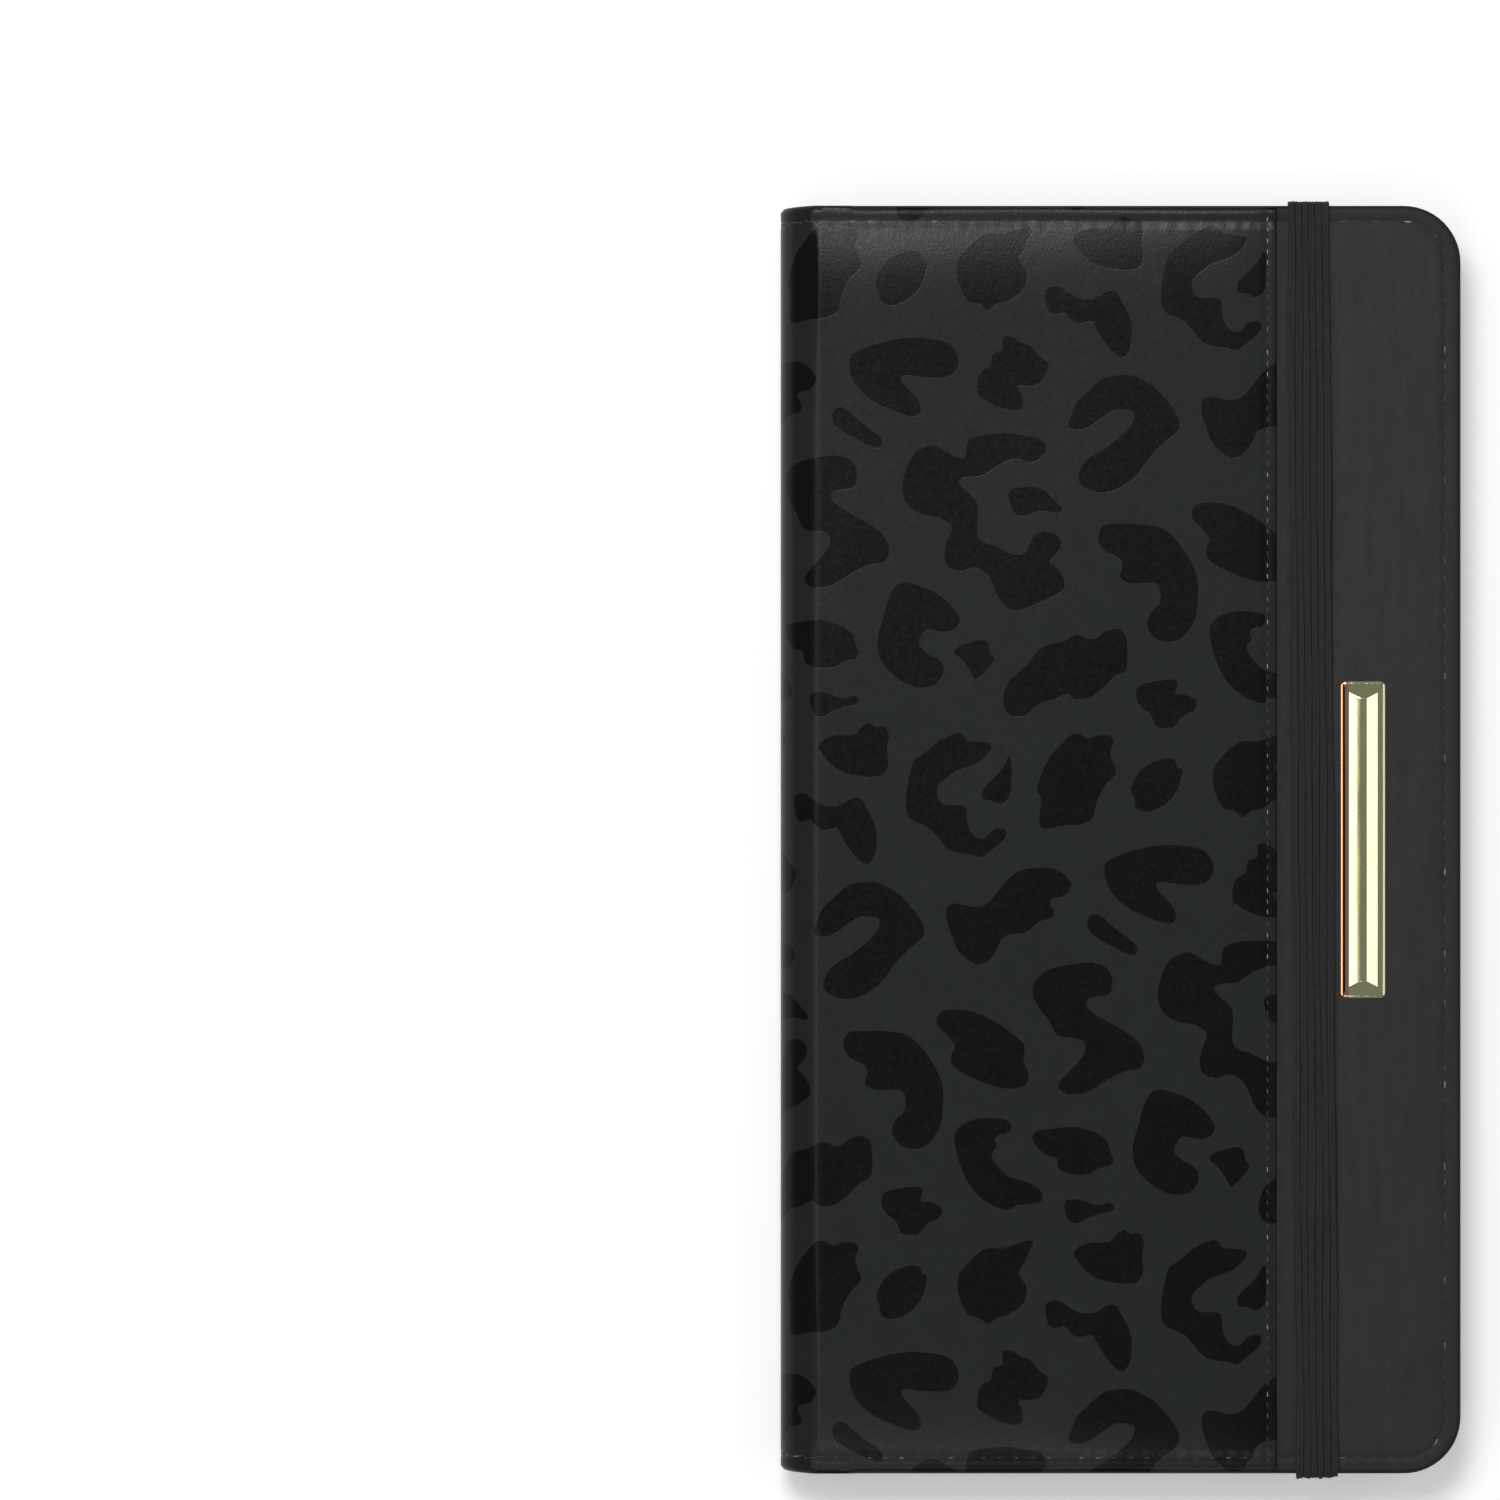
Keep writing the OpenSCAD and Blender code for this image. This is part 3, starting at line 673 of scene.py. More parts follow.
def inside_outline(x, y):
    """Distance inside the cover's outline, with its round corners at the fore-edge."""
    qx = np.maximum(x - (FORE_EDGE_X - CORNER_R), 0)
    qy = np.maximum(np.abs(y) - (TOP_Y - CORNER_R), 0)
    corner = CORNER_R - np.hypot(qx, qy)
    return np.where((qx > 0) & (qy > 0), corner, np.minimum(FORE_EDGE_X - x, TOP_Y - np.abs(y)))


def panel_rim(x, y, pad):
    """Height of a sewn panel with the cover's outline, with puckers along its nearest side."""
    along = np.where(FORE_EDGE_X - x < TOP_Y - np.abs(y), y, x)
    return rim_height(inside_outline(x, y), along, pad)


def band_height(x, y, lies):
    """Height of the plain leather above its flat face."""
    height = panel_rim(x, y, 0.12) + 0.04 * waves(x, y, 30, 5)
    return np.minimum(height, 0) if lies else height


def band_painted_shade(x, y):
    """Painted shade on the plain leather at its edge, and beside the patterned leather's lap."""
    # Painted shade on the plain leather just beside the lap, where the lap's step shades it.
    beside = 0.35 * (1 - smoothstep(0, 0.5, x - SEAM_X)) + 0.18 * (1 - smoothstep(0.8, 3.5, x - SEAM_X))
    return np.clip(edge_and_seam_shade(inside_outline(x, y)) + beside, 0, 1)


# Steps round a turned edge
EDGE_STEPS = 9


def edge_arc(radius):
    """Steps over the half circle of a turned edge: how far in from the edge, and how far down."""
    for i in range(1, EDGE_STEPS):
        angle = math.pi * i / EDGE_STEPS
        yield radius * (1 - math.sin(angle)), radius * (1 - math.cos(angle))


def grid_faces(rows, columns, closed=False):
    """Quads of a grid of points kept row by row, joined round to the first column if closed."""
    last = columns if closed else columns - 1
    quads = []
    for r in range(rows - 1):
        here, ahead = r * columns, (r + 1) * columns
        for c in range(last):
            beyond = (c + 1) % columns
            quads.append((here + c, here + beyond, ahead + beyond, ahead + c))
    return quads


def print_leather(side):
    """Patterned leather of a cover, turned in along the top and bottom round the stiffener."""
    lies = side == "back"
    count = int((SEAM_X - FOLD_X) / PRINT_STEP)
    lap_lines = SEAM_X - np.array([0.3, 0.18, 0.08, 0.0])
    stations = np.concatenate([np.linspace(FOLD_X, SEAM_X - 0.45, count), lap_lines])
    rows = []
    for x in stations:
        turn = smoothstep(BOARD_X - RAMP_W, BOARD_X, x)
        thick = (1 - turn) * PRINT_T + turn * (COVER_T - HEM_Z)
        radius = thick / 2
        reach = TOP_Y - radius
        ys = np.linspace(-reach, reach, int(2 * TOP_Y / PRINT_STEP))
        face = [(y, COVER_T + h) for y, h in zip(ys, print_height(np.full(len(ys), x), ys, lies))]
        right = [(TOP_Y - inset, COVER_T - drop) for inset, drop in edge_arc(radius)]
        under_z = COVER_T - thick
        right += [(TOP_Y - radius, under_z), (TOP_Y - HEM_W, under_z), (TOP_Y - HEM_W, FACE_BACK_Z + 0.02)]
        left = [(-y, z) for y, z in reversed(right)]
        rows.append([(x, y, z) for y, z in left + face + right])
    columns = len(rows[0])
    points = np.array(rows).reshape(-1, 3)
    xs, ys = points[:, 0], points[:, 1]
    flat = points[:, :2].copy()
    if lies:
        flat[:, 0] = 2 * FOLD_X - math.pi * SPINE_R - flat[:, 0]
    faces = grid_faces(len(rows), columns, closed=True)
    faces += [tuple(range(columns)), tuple(range(len(points) - 1, len(points) - columns - 1, -1))]
    satin = satin_share(xs, TOP_Y - np.abs(ys))
    marks = {"spot": spot_field(flat), "painted_shade": print_painted_shade(xs, ys), "satin": satin}
    piece = mesh_object(f"{side}_print_leather", on_back(points) if lies else points, faces, PRINTED, marks)
    face_outwards(piece)
    hang(piece, f"{side}_cover", f"{side}_print_panel", crisp=50)


# Steps round each of the cover's two corners
CORNER_STEPS = 14


def outline_path(inset, xs, ys):
    """Points along the three free sides at one inset, from the top of the seam round to its bottom."""
    turn_x, turn_y = FORE_EDGE_X - CORNER_R, TOP_Y - CORNER_R
    r = CORNER_R - inset
    angles = np.linspace(math.pi / 2, 0, CORNER_STEPS + 1)[1:-1]
    path = [(x, TOP_Y - inset) for x in xs]
    path += [(turn_x + r * math.cos(a), turn_y + r * math.sin(a)) for a in angles]
    path += [(FORE_EDGE_X - inset, y) for y in ys[::-1]]
    path += [(turn_x + r * math.cos(a), -turn_y - r * math.sin(a)) for a in angles[::-1]]
    path += [(x, -TOP_Y + inset) for x in xs[::-1]]
    return np.array(path)


def grid_lines(low, high, count, near):
    """Even steps from low to high, with extra ones."""
    return np.unique(np.concatenate([np.linspace(low, high, count), near]).round(4))


def rounded_slab(name, x_from, levels, height, core_z, material, painted_shade, near_x=(), near_y=()):
    """A closed piece with the cover's outline from x_from to the fore-edge. levels holds an inset, a Z and
    whether the height is added, from the core's border outwards and back in underneath. The core is a grid at
    core_z plus height, with extra lines at near_x and near_y."""
    turn_x, turn_y = FORE_EDGE_X - CORNER_R, TOP_Y - CORNER_R
    xs = grid_lines(x_from, turn_x, max(2, int((turn_x - x_from) / PANEL_STEP)), near_x)
    ys = grid_lines(-turn_y, turn_y, int(2 * turn_y / PANEL_STEP), near_y)
    grid_x, grid_y = np.meshgrid(xs, ys, indexing="ij")
    core = np.stack([grid_x, grid_y, core_z + height(grid_x, grid_y)], -1).reshape(-1, 3)
    points = [tuple(p) for p in core]
    faces = grid_faces(len(xs), len(ys))
    index = np.arange(len(points)).reshape(len(xs), len(ys))
    ring = list(index[:, -1]) + [index[-1, -1]] * (CORNER_STEPS - 1) + list(index[-1, ::-1])
    ring += [index[-1, 0]] * (CORNER_STEPS - 1) + list(index[::-1, 0])
    rings = [ring]
    for inset, z, lifted in levels:
        path = outline_path(inset, xs, ys)
        zs = z + (height(path[:, 0], path[:, 1]) if lifted else 0)
        rings.append(list(range(len(points), len(points) + len(path))))
        points += [(x, y, zz) for (x, y), zz in zip(path, np.broadcast_to(zs, len(path)))]
    for inner, outer in zip(rings, rings[1:]):
        for i in range(len(outer) - 1):
            quad = [inner[i], inner[i + 1], outer[i + 1], outer[i]]
            quad = [v for k, v in enumerate(quad) if v != quad[k - 1]]
            if len(quad) > 2:
                faces.append(tuple(quad))
    faces.append(tuple(dict.fromkeys(rings[-1][::-1])))
    start = [r[0] for r in rings[1:]]
    end = [r[-1] for r in rings[1:]]
    faces.append(tuple(list(index[0, :]) + start + end[::-1]))
    points = np.array(points)
    # The given function sets how much shade is painted into the colour at each point.
    piece = mesh_object(name, points, faces, material, {"painted_shade": painted_shade(points[:, 0], points[:, 1])})
    face_outwards(piece)
    return piece


def to_other_cover(piece):
    """Turns a piece of one cover over, into the mirrored place on the other."""
    for v in piece.data.vertices:
        v.co.z = COVER_T * MM - v.co.z
    face_outwards(piece)


def band_leather(side):
    """Plain leather of the fore-edge, turned in on three sides round the stiffener."""
    lies = side == "back"
    radius = (BAND_FACE_Z - HEM_Z) / 2
    insets = [6.6, 5.4, 4.5, 3.8, 3.3, 2.9, 2.6, 2.3, 2.0, 1.7, 1.3, 1.0, radius]
    levels = [(i, BAND_FACE_Z, True) for i in insets]
    levels += [(inset, BAND_FACE_Z - drop, False) for inset, drop in edge_arc(radius)]
    levels += [(radius, HEM_Z, False), (HEM_W, HEM_Z, False), (HEM_W, FACE_BACK_Z, False)]

    def height(x, y):
        return band_height(x, y, lies)

    piece = rounded_slab(f"{side}_band_leather", SEAM_X - 0.6, levels, height, BAND_FACE_Z, PLAIN, band_painted_shade)
    if lies:
        to_other_cover(piece)
    hang(piece, f"{side}_cover", f"{side}_plain_band", crisp=50)


for make in (print_leather, band_leather):
    for cover in ("front", "back"):
        make(cover)


# The spine, which bends at four fold lines

SPINE_ARC = math.pi * SPINE_R
STRIP_ANGLE = math.pi / 3
# How far the spine's ends draw in at its middle
SPINE_DIP = 0.3
# The crease beside each fold, and the slope from it to the round back
CREASE_AT = 1.3
CREASE_W = 0.5
SLOPE = math.radians(33)
SLOPE_L = 2.0
# How far the lining stands in from its profile between the fold lines, and out at the two middle ones
STRIP_FILL = 0.56
FOLD_SINK = 0.10


def fold_part(number):
    """The stretch of the spine that bends at one fold line: its first and last angle."""
    middle = number * STRIP_ANGLE
    return max(0.0, middle - STRIP_ANGLE / 2), min(math.pi, middle + STRIP_ANGLE / 2)


def along_tilt(s, tilt):
    """Adds up the steps of a line that leaves the front cover's fold and ends at the back cover's."""
    step = s[1] - s[0]
    x = FOLD_X - np.concatenate([[0], np.cumsum((np.cos(tilt[1:]) + np.cos(tilt[:-1])) / 2 * step)])
    z = COVER_T - np.concatenate([[0], np.cumsum((np.sin(tilt[1:]) + np.sin(tilt[:-1])) / 2 * step)])
    return s, x, COVER_T * (z - z[-1]) / (COVER_T - z[-1]), tilt


def leather_profile():
    """The leather's way round the spine: flat, a crease, a slope, and a round back. Returns X, Z and tilt."""
    s = np.linspace(0, SPINE_ARC, 800)
    first = np.minimum(s, SPINE_ARC - s)
    slope_end = CREASE_AT + CREASE_W / 2 + SLOPE_L
    tilt = SLOPE * np.clip((first - CREASE_AT + CREASE_W / 2) / CREASE_W, 0, 1)
    tilt = tilt + (math.pi / 2 - SLOPE) * np.clip((first - slope_end) / (SPINE_ARC / 2 - slope_end), 0, 1)
    return along_tilt(s, np.where(s > SPINE_ARC / 2, math.pi - tilt, tilt))


def lining_profile():
    """The outer line that the lining follows: most bent at the fold lines, so that it opens out flat."""
    s = np.linspace(0, SPINE_ARC, 800)
    tilt = np.zeros(len(s))
    for number in range(4):
        a_from, a_to = fold_part(number)
        tilt = tilt + (a_to - a_from) * smoothstep(a_from, a_to, s / SPINE_R)
    return along_tilt(s, tilt)


LEATHER_PROFILE = leather_profile()
LINING_PROFILE = lining_profile()


def place_on(profile, angle, lift):
    """X and Z at an angle round the spine, lifted off a profile."""
    s = angle * SPINE_R
    x, z, tilt = (np.interp(s, profile[0], values) for values in profile[1:])
    return x - lift * np.sin(tilt), z + lift * np.cos(tilt)


def lining_place(angle, lift):
    """X and Z on the lining's inner face, which opens out flat, lifted towards the cover's inside."""
    even = STRIP_FILL * np.sin(3 * angle) ** 2 - FOLD_SINK * np.sin(angle) ** 2
    return place_on(LINING_PROFILE, angle, -PRINT_T - LINING_T - lift - even)


def spine_place(angle, radius):
    """X and Z on the spine. The angle runs from 0 at the front cover's fold to pi at the back cover's."""
    return FOLD_X - radius * np.sin(angle), SPINE_R + radius * np.cos(angle)


def spine_end_y(angle):
    """Where the spine's top end is, at an angle round it."""
    return TOP_Y - SPINE_DIP * np.sin(angle) ** 2


def hang_over_fold(piece, number, inside, crisp=None, strips=False):
    """Bakes a piece's place into its mesh, with edges over crisp degrees kept sharp. Where strips is set, the
    CAD strips at the fold line are hidden, so that a sheet takes the place of strips there.
    """
    if crisp:
        piece.data.set_sharp_from_angle(angle=math.radians(crisp))
    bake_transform(piece)
    if strips:
        kind = "spine_lining" if inside else "spine_cover"
        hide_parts(*[f"{kind}_{strip}" for strip in (3 - number, 4 - number) if 1 <= strip <= 3])


def two_layers(first, second):
    """The points of two grids, one after the other."""
    return np.concatenate([np.array(grid).reshape(-1, 3) for grid in (first, second)])


def closed_sheet(rows, columns):
    """Faces of a sheet with an outer and an inner grid of points, closed round its four borders."""
    n = rows * columns
    faces = grid_faces(rows, columns)
    faces += [tuple(i + n for i in reversed(f)) for f in faces]
    border = list(range(columns)) + [r * columns + columns - 1 for r in range(1, rows)]
    border += [(rows - 1) * columns + c for c in range(columns - 2, -1, -1)]
    border += [r * columns for r in range(rows - 2, 0, -1)]
    return faces + [(a, a + n, b + n, b) for a, b in zip(border, border[1:] + border[:1])]


def edge_drop(d, radius):
    """How far a sheet's face falls towards its rounded edge."""
    near = np.clip(1 - d / radius, 0, 1)
    return radius * (1 - np.sqrt(np.clip(1 - near**2, 0, 1)))


def outer_spine_height(arc, d):
    """Height of the spine's leather above its profile, at distance d from its end."""
    first = np.minimum(arc, SPINE_ARC - arc)
    lies = arc > SPINE_ARC - 2 * CREASE_AT
    pad = 0 if lies else PAD * (1 - smoothstep(0.3, CREASE_AT + 0.2, first))
    rim = rim_height(d, FOLD_X - arc, pad)
    return (np.minimum(rim, 0) if lies else rim) - edge_drop(d, 0.45) - 0.05 * bump_at(first, CREASE_AT, 0.3)


def spine_leather(number):
    """Patterned leather over one fold line."""
    a_from, a_to = fold_part(number)
    count = max(6, int((a_to - a_from) * SPINE_R / 0.25))
    row_count = int(2 * TOP_Y / PRINT_STEP)
    share = np.linspace(-1, 1, row_count)
    outer, inner, flat, painted_shade = [], [], [], []
    for angle in np.linspace(a_from, a_to, count):
        end_y = spine_end_y(angle)
        ys = share * end_y
        d = end_y - np.abs(ys)
        arc = angle * SPINE_R
        x, z = place_on(LEATHER_PROFILE, angle, outer_spine_height(arc, d))
        outer.append(np.stack([x, ys, z], -1))
        x, z = spine_place(angle, np.full(row_count, SPINE_R - PRINT_T + 0.02))
        inner.append(np.stack([x, ys, z], -1))
        flat.append(np.stack([np.full(row_count, FOLD_X - arc), ys], -1))
        first = min(arc, SPINE_ARC - arc)
        # Shade painted on the slope down to the spine's round back, and a line of painted shade in the crease
        # beside the fold.
        painted_slope_shade = 0.38 * smoothstep(CREASE_AT - 0.2, CREASE_AT + 0.5, first)
        painted_shade.append(np.clip(edge_and_seam_shade(d) + painted_slope_shade + 0.15 * bump_at(first, CREASE_AT, 0.3), 0, 1))
    points = two_layers(outer, inner)
    n = count * row_count
    marks = {
        "spot": np.concatenate([spot_field(np.array(flat).reshape(-1, 2)), np.full(n, -FAR)]),
        "painted_shade": np.tile(np.array(painted_shade).ravel(), 2),
        "satin": satin_share(FOLD_X, TOP_Y - np.abs(points[:, 1])) * 0.5 + 0.2,
    }
    piece = mesh_object(f"spine_leather_{number + 1}", points, closed_sheet(count, row_count), PRINTED, marks)
    piece.data.materials.append(BACKING_AND_SLOT_SHADE)
    for face in piece.data.polygons:
        if min(face.vertices) >= n:
            face.material_index = 1
    face_outwards(piece)
    hang_over_fold(piece, number, False, crisp=60, strips=True)


# The pen slot across the spine's lining, as a length round the spine and a width along it
PEN_SLOT_L = 18.0
PEN_SLOT_H = 4.9
PEN_SLOT_Y = TOP_Y - 23.6
# Steps from the slot's end, close together where its round end turns most
SLOT_STEPS = (0.01, 0.04, 0.1, 0.18, 0.3, 0.45, 0.65, 0.9, 1.2, 1.5, 1.9, 2.4)


def slot_half_height(arc):
    """Half the pen slot's opening at a place round the spine: a straight slot with round ends."""
    r = PEN_SLOT_H / 2
    past = np.abs(arc - SPINE_ARC / 2) - (PEN_SLOT_L / 2 - r)
    return np.sqrt(np.clip(r * r - np.clip(past, 0, None) ** 2, 0, None))


def free_sides(quads):
    """The sides that only one quad has, in the order and the direction in which they are met."""
    sides = {}
    for quad in quads:
        for a, b in zip(quad, quad[1:] + quad[:1]):
            sides[(a, b)] = (b, a) not in sides
            if not sides[(a, b)]:
                sides[(b, a)] = False
    return [side for side, free in sides.items() if free]


def spine_lining(number):
    """Lining over one fold line, with its share of the pen slot."""
    a_from, a_to = fold_part(number)
    slot_ends = [(SPINE_ARC / 2 + side * PEN_SLOT_L / 2) / SPINE_R for side in (-1, 1)]
    rounds = [e - s * t / SPINE_R for e, s in zip(slot_ends, (-1, 1)) for t in SLOT_STEPS]
    near_slot = [a for a in slot_ends + rounds if a_from < a < a_to]
    angles = np.unique(np.concatenate([np.linspace(a_from, a_to, 16), near_slot]).round(5))
    low_share, high_share = np.linspace(0, 1, 150), np.linspace(0, 1, 30)
    halves = [slot_half_height(angle * SPINE_R) for angle in angles]
    facing, behind = [], []
    for angle, half in zip(angles, halves):
        end_y = spine_end_y(angle)
        below = -end_y + low_share * (end_y + PEN_SLOT_Y - half)
        above = PEN_SLOT_Y + half + high_share * (end_y - PEN_SLOT_Y - half)
        ys = np.concatenate([below, above])
        d = end_y - np.abs(ys)
        lip = np.where(half > 0, 0.16 * bump_at(np.abs(ys - PEN_SLOT_Y) - half, 0.5, 0.5), 0)
        lift = 0.6 * rim_height(d, FOLD_X - angle * SPINE_R, 0.15) - edge_drop(d, 0.3) + lip
        for layer, height in ((facing, lift), (behind, np.full(len(ys), -LINING_T))):
            x, z = lining_place(angle, height)
            layer.append(np.stack([x, ys, z], -1))
    rows, columns = len(angles), len(ys)
    n = rows * columns
    gap = len(low_share) - 1
    quads = [f for f in grid_faces(rows, columns) if f[0] % columns != gap]
    faces = quads + [tuple(i + n for i in reversed(f)) for f in quads]
    shut = {r * columns + gap + side for r, half in enumerate(halves) if half == 0 for side in (0, 1)}
    faces += [(b, a, a + n, b + n) for a, b in free_sides(quads) if not (a in shut and b in shut)]
    piece = mesh_object(f"spine_lining_piece_{number + 1}", two_layers(facing, behind), faces, LINING)
    face_outwards(piece, lambda work: bmesh.ops.remove_doubles(work, verts=work.verts, dist=0.0005 * MM))
    hang_over_fold(piece, number, True, crisp=50, strips=True)


for fold in range(4):
    spine_leather(fold)
    spine_lining(fold)


# Pockets: leather panels sewn to the linings on three sides

MOUTH_R = 0.28
# Distances from a pocket's mouth where its panel has extra lines of points
MOUTH_LINES = np.array([0.04, 0.1, 0.18, 0.3, 0.6, 1.0, 1.3, 1.6, 1.85, 2.1, 2.35, 2.6, 3.0, 3.5, 4.2])


def mouth_height(d, along):
    """Height of a pocket panel at distance d inside its folded mouth."""
    seam = 0.13 * bump_at(d, MOUTH_SEAM_INSET, 0.4)
    ripple = 0.03 * np.cos(2 * math.pi * along / STITCH_PITCH) * bump_at(d, MOUTH_SEAM_INSET, 0.9)
    return -edge_drop(np.clip(d, 0, None), MOUTH_R) - seam + ripple


def pocket_height(x, y):
    """Height of a pocket panel above its flat face: sewn edges, a folded mouth, and a slight belly."""
    rim = 0.75 * panel_rim(x, y, 0.05) - edge_drop(inside_outline(x, y), 0.25)
    return rim + mouth_height(x - POCKET_X, y) + 0.025 * waves(x, y, 34, 8) - 0.03


def card_height(x, y):
    return pocket_height(x, y) + mouth_height(CARD_MOUTH_Y - y, x)


# Painted shade on a pocket panel: the edge line and seam shade as on the other panels, and painted shade
# along its mouth's folded edge.
def pocket_painted_shade(x, y):
    return np.clip(edge_and_seam_shade(inside_outline(x, y)) + 0.35 * (1 - smoothstep(0, 0.35, x - POCKET_X)), 0, 1)


def cut_at_card_mouth(work):
    """Cuts away what is above the card pocket's mouth, and closes the cut."""
    everything = work.verts[:] + work.edges[:] + work.faces[:]
    at_mouth = {"plane_co": (0, CARD_MOUTH_Y * MM, 0), "plane_no": (0, 1, 0), "clear_outer": True}
    cut = bmesh.ops.bisect_plane(work, geom=everything, **at_mouth)
    bmesh.ops.holes_fill(work, edges=[e for e in cut["geom_cut"] if isinstance(e, bmesh.types.BMEdge)])


def pocket_panel(node_name, body, top_z, height, near_y=()):
    """A pocket's leather panel, which near_y's first line cuts off if there is one."""
    insets = [6.0, 5.0, 4.2, 3.6, 3.1, 2.8, 2.55, 2.3, 2.05, 1.8, 1.5, 1.1, 0.7, 0.45, 0.25, 0.12, 0.04, 0.0]
    levels = [(inset, top_z, True) for inset in insets] + [(0.0, top_z - POCKET_T + 0.03, False)]
    name = f"{node_name}_leather"
    near_x = POCKET_X + MOUTH_LINES
    piece = rounded_slab(name, POCKET_X, levels, height, top_z, POCKET, pocket_painted_shade, near_x, near_y)
    if len(near_y):
        face_outwards(piece, cut_at_card_mouth)
    if body == "front_cover":
        to_other_cover(piece)
    hang(piece, body, node_name, crisp=45)


pocket_panel("back_pocket", "back_cover", POCKET_TOP_Z, pocket_height)
pocket_panel("cash_pocket", "front_cover", POCKET_TOP_Z, pocket_height)
card_lines = CARD_MOUTH_Y - np.concatenate([[0], MOUTH_LINES])
pocket_panel("card_pocket", "front_cover", CARD_TOP_Z, card_height, card_lines)


# Stitches

def thread_loop(middle, way, lift, length, radius, rise, first):
    """A short thread that dips at both ends: its points, and its faces numbered from first."""
    rings, sides = 5, 6
    side = np.cross(way, lift)
    points = []
    for i in range(rings):
        t = i / (rings - 1) * 2 - 1
        r = radius * (0.45 + 0.55 * math.sqrt(max(0.0, 1 - t**4)))
        centre = middle + way * t * length / 2 + lift * (rise * (1 - t * t) - 0.07)
        for s in range(sides):
            a = 2 * math.pi * s / sides
            points.append(centre + r * (math.cos(a) * side * 1.1 + math.sin(a) * lift * 0.8))
    faces = [tuple(first + i for i in f) for f in grid_faces(rings, sides, closed=True)]
    faces.append(tuple(first + s for s in reversed(range(sides))))
    faces.append(tuple(first + (rings - 1) * sides + s for s in range(sides)))
    return points, faces


def stitch_row(name, stitches, length, radius=THREAD_R, mirrored=False):
    """Threads, each a middle, a direction, the way up and a paleness, the palest drawn as painted glints,
    with a black blob at both ends as painted shade of the needle hole.
    """
    points, faces, shades_to_glints = [], [], []
    for middle, way, lift, shade_to_glint in stitches:
        middle, way, lift = np.array(middle, float), np.array(way, float), np.array(lift, float)
        way = way / np.linalg.norm(way)
        parts = [(middle, length, radius, 0.12, shade_to_glint)]
        for end in (-1, 1):
            # A black blob at each end stands in as painted shade of the needle hole.
            hole_shade = middle + way * end * (length / 2 + 0.12) - lift * 0.01
            parts.append((hole_shade, 0.45, radius * 1.8, 0.03, 0.0))
        for centre, part_length, part_radius, rise, part_shade_to_glint in parts:
            found, quads = thread_loop(centre, way, lift, part_length, part_radius, rise, len(points))
            points += found
            faces += quads
            shades_to_glints += [part_shade_to_glint] * len(found)
    return mesh_object(name, on_back(points) if mirrored else points, faces, THREAD, {"shade_to_glint": shades_to_glints})


UP = (0, 0, 1)
# How pale most threads are drawn, as a share of a pale one; the rare palest ones are painted glints
GLINT_LEVEL = 0.06


def sew(
    name, path, z_of, seed, glint_level=GLINT_LEVEL, mirrored=False, pitch=STITCH_PITCH, radius=THREAD_R, share=0.56
):
    """A row of stitches along a path in X and Y, with a few paler threads as painted glints. share is a
    thread's share of the pitch, and z_of gives the face's Z."""
    line = np.column_stack([path, z_of(path[:, 0], path[:, 1])])
    reach = np.concatenate([[0], np.cumsum(np.linalg.norm(np.diff(line, axis=0), axis=1))])

    def at(s):
        return np.array([np.interp(s, reach, line[:, i]) for i in range(3)])

    count = max(1, int(reach[-1] / pitch))
    rng = np.random.default_rng(seed)
    stitches = []
    for k in range(count):
        s = (k + 0.5) * reach[-1] / count + rng.normal(0, 0.04)
        way = at(min(s + 0.4, reach[-1])) - at(max(s - 0.4, 0))
        across = np.cross(UP, way) / np.linalg.norm(way)
        way = way + across * rng.normal(0.05, 0.05) * np.linalg.norm(way)
        stitches.append((at(s), way, UP, min(1.0, glint_level * (0.3 + 14 * rng.random() ** 8))))
    piece = stitch_row(name, stitches, pitch * share, radius, mirrored)
    face_outwards(piece)
    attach(piece, "back_cover" if name.startswith("back") else "front_cover")


def side_path(x_from):
    """The seam's line round a cover's three free sides, from the fold's top to its bottom."""
    xs = np.linspace(x_from, FORE_EDGE_X - CORNER_R, 60)
    ys = np.linspace(-TOP_Y + CORNER_R, TOP_Y - CORNER_R, 120)
    return outline_path(SEAM_INSET, xs, ys)


def down_path(x, count):
    """A straight line along the spine's way, from the cover's top to its bottom."""
    return np.column_stack([np.full(count, x), np.linspace(TOP_Y - 1.0, -TOP_Y + 1.0, count)])


def outside_z(x, y, lies=False):
    """Z of the front cover's outer face."""
    printed = COVER_T + print_height(np.minimum(x, SEAM_X), y, lies)
    return np.where(x < SEAM_X, printed, BAND_FACE_Z + band_height(x, y, lies))


def lying_z(x, y):
    """The same for the cover that lies underneath, before it is turned over, with the threads sunk in."""
    return outside_z(x, y, True) - 0.06


def lining_z(x):
    """Z of the back cover's lining, which slopes down to the fold."""
    return PRINT_T + LINING_T + BOARD_T * smoothstep(BOARD_X - RAMP_W, BOARD_X, x)


def pocket_z(x, y):
    """Z of the inner face of the back cover."""
    return np.where(x < POCKET_X, lining_z(x), POCKET_TOP_Z + pocket_height(x, y))


def front_inner_z(x, y):
    """The same for the front cover, before it is turned over."""
    z = np.where((x > POCKET_X) & (y < CARD_MOUTH_Y), CARD_TOP_Z + card_height(x, y), pocket_z(x, y))
    on_strip = (x > STRIP_LOW[0]) & (y > STRIP_LOW[1]) & (y < STRIP_HIGH[1])
    return np.where(on_strip, COVER_T - STRIP_LOW[2] + 0.02, z)


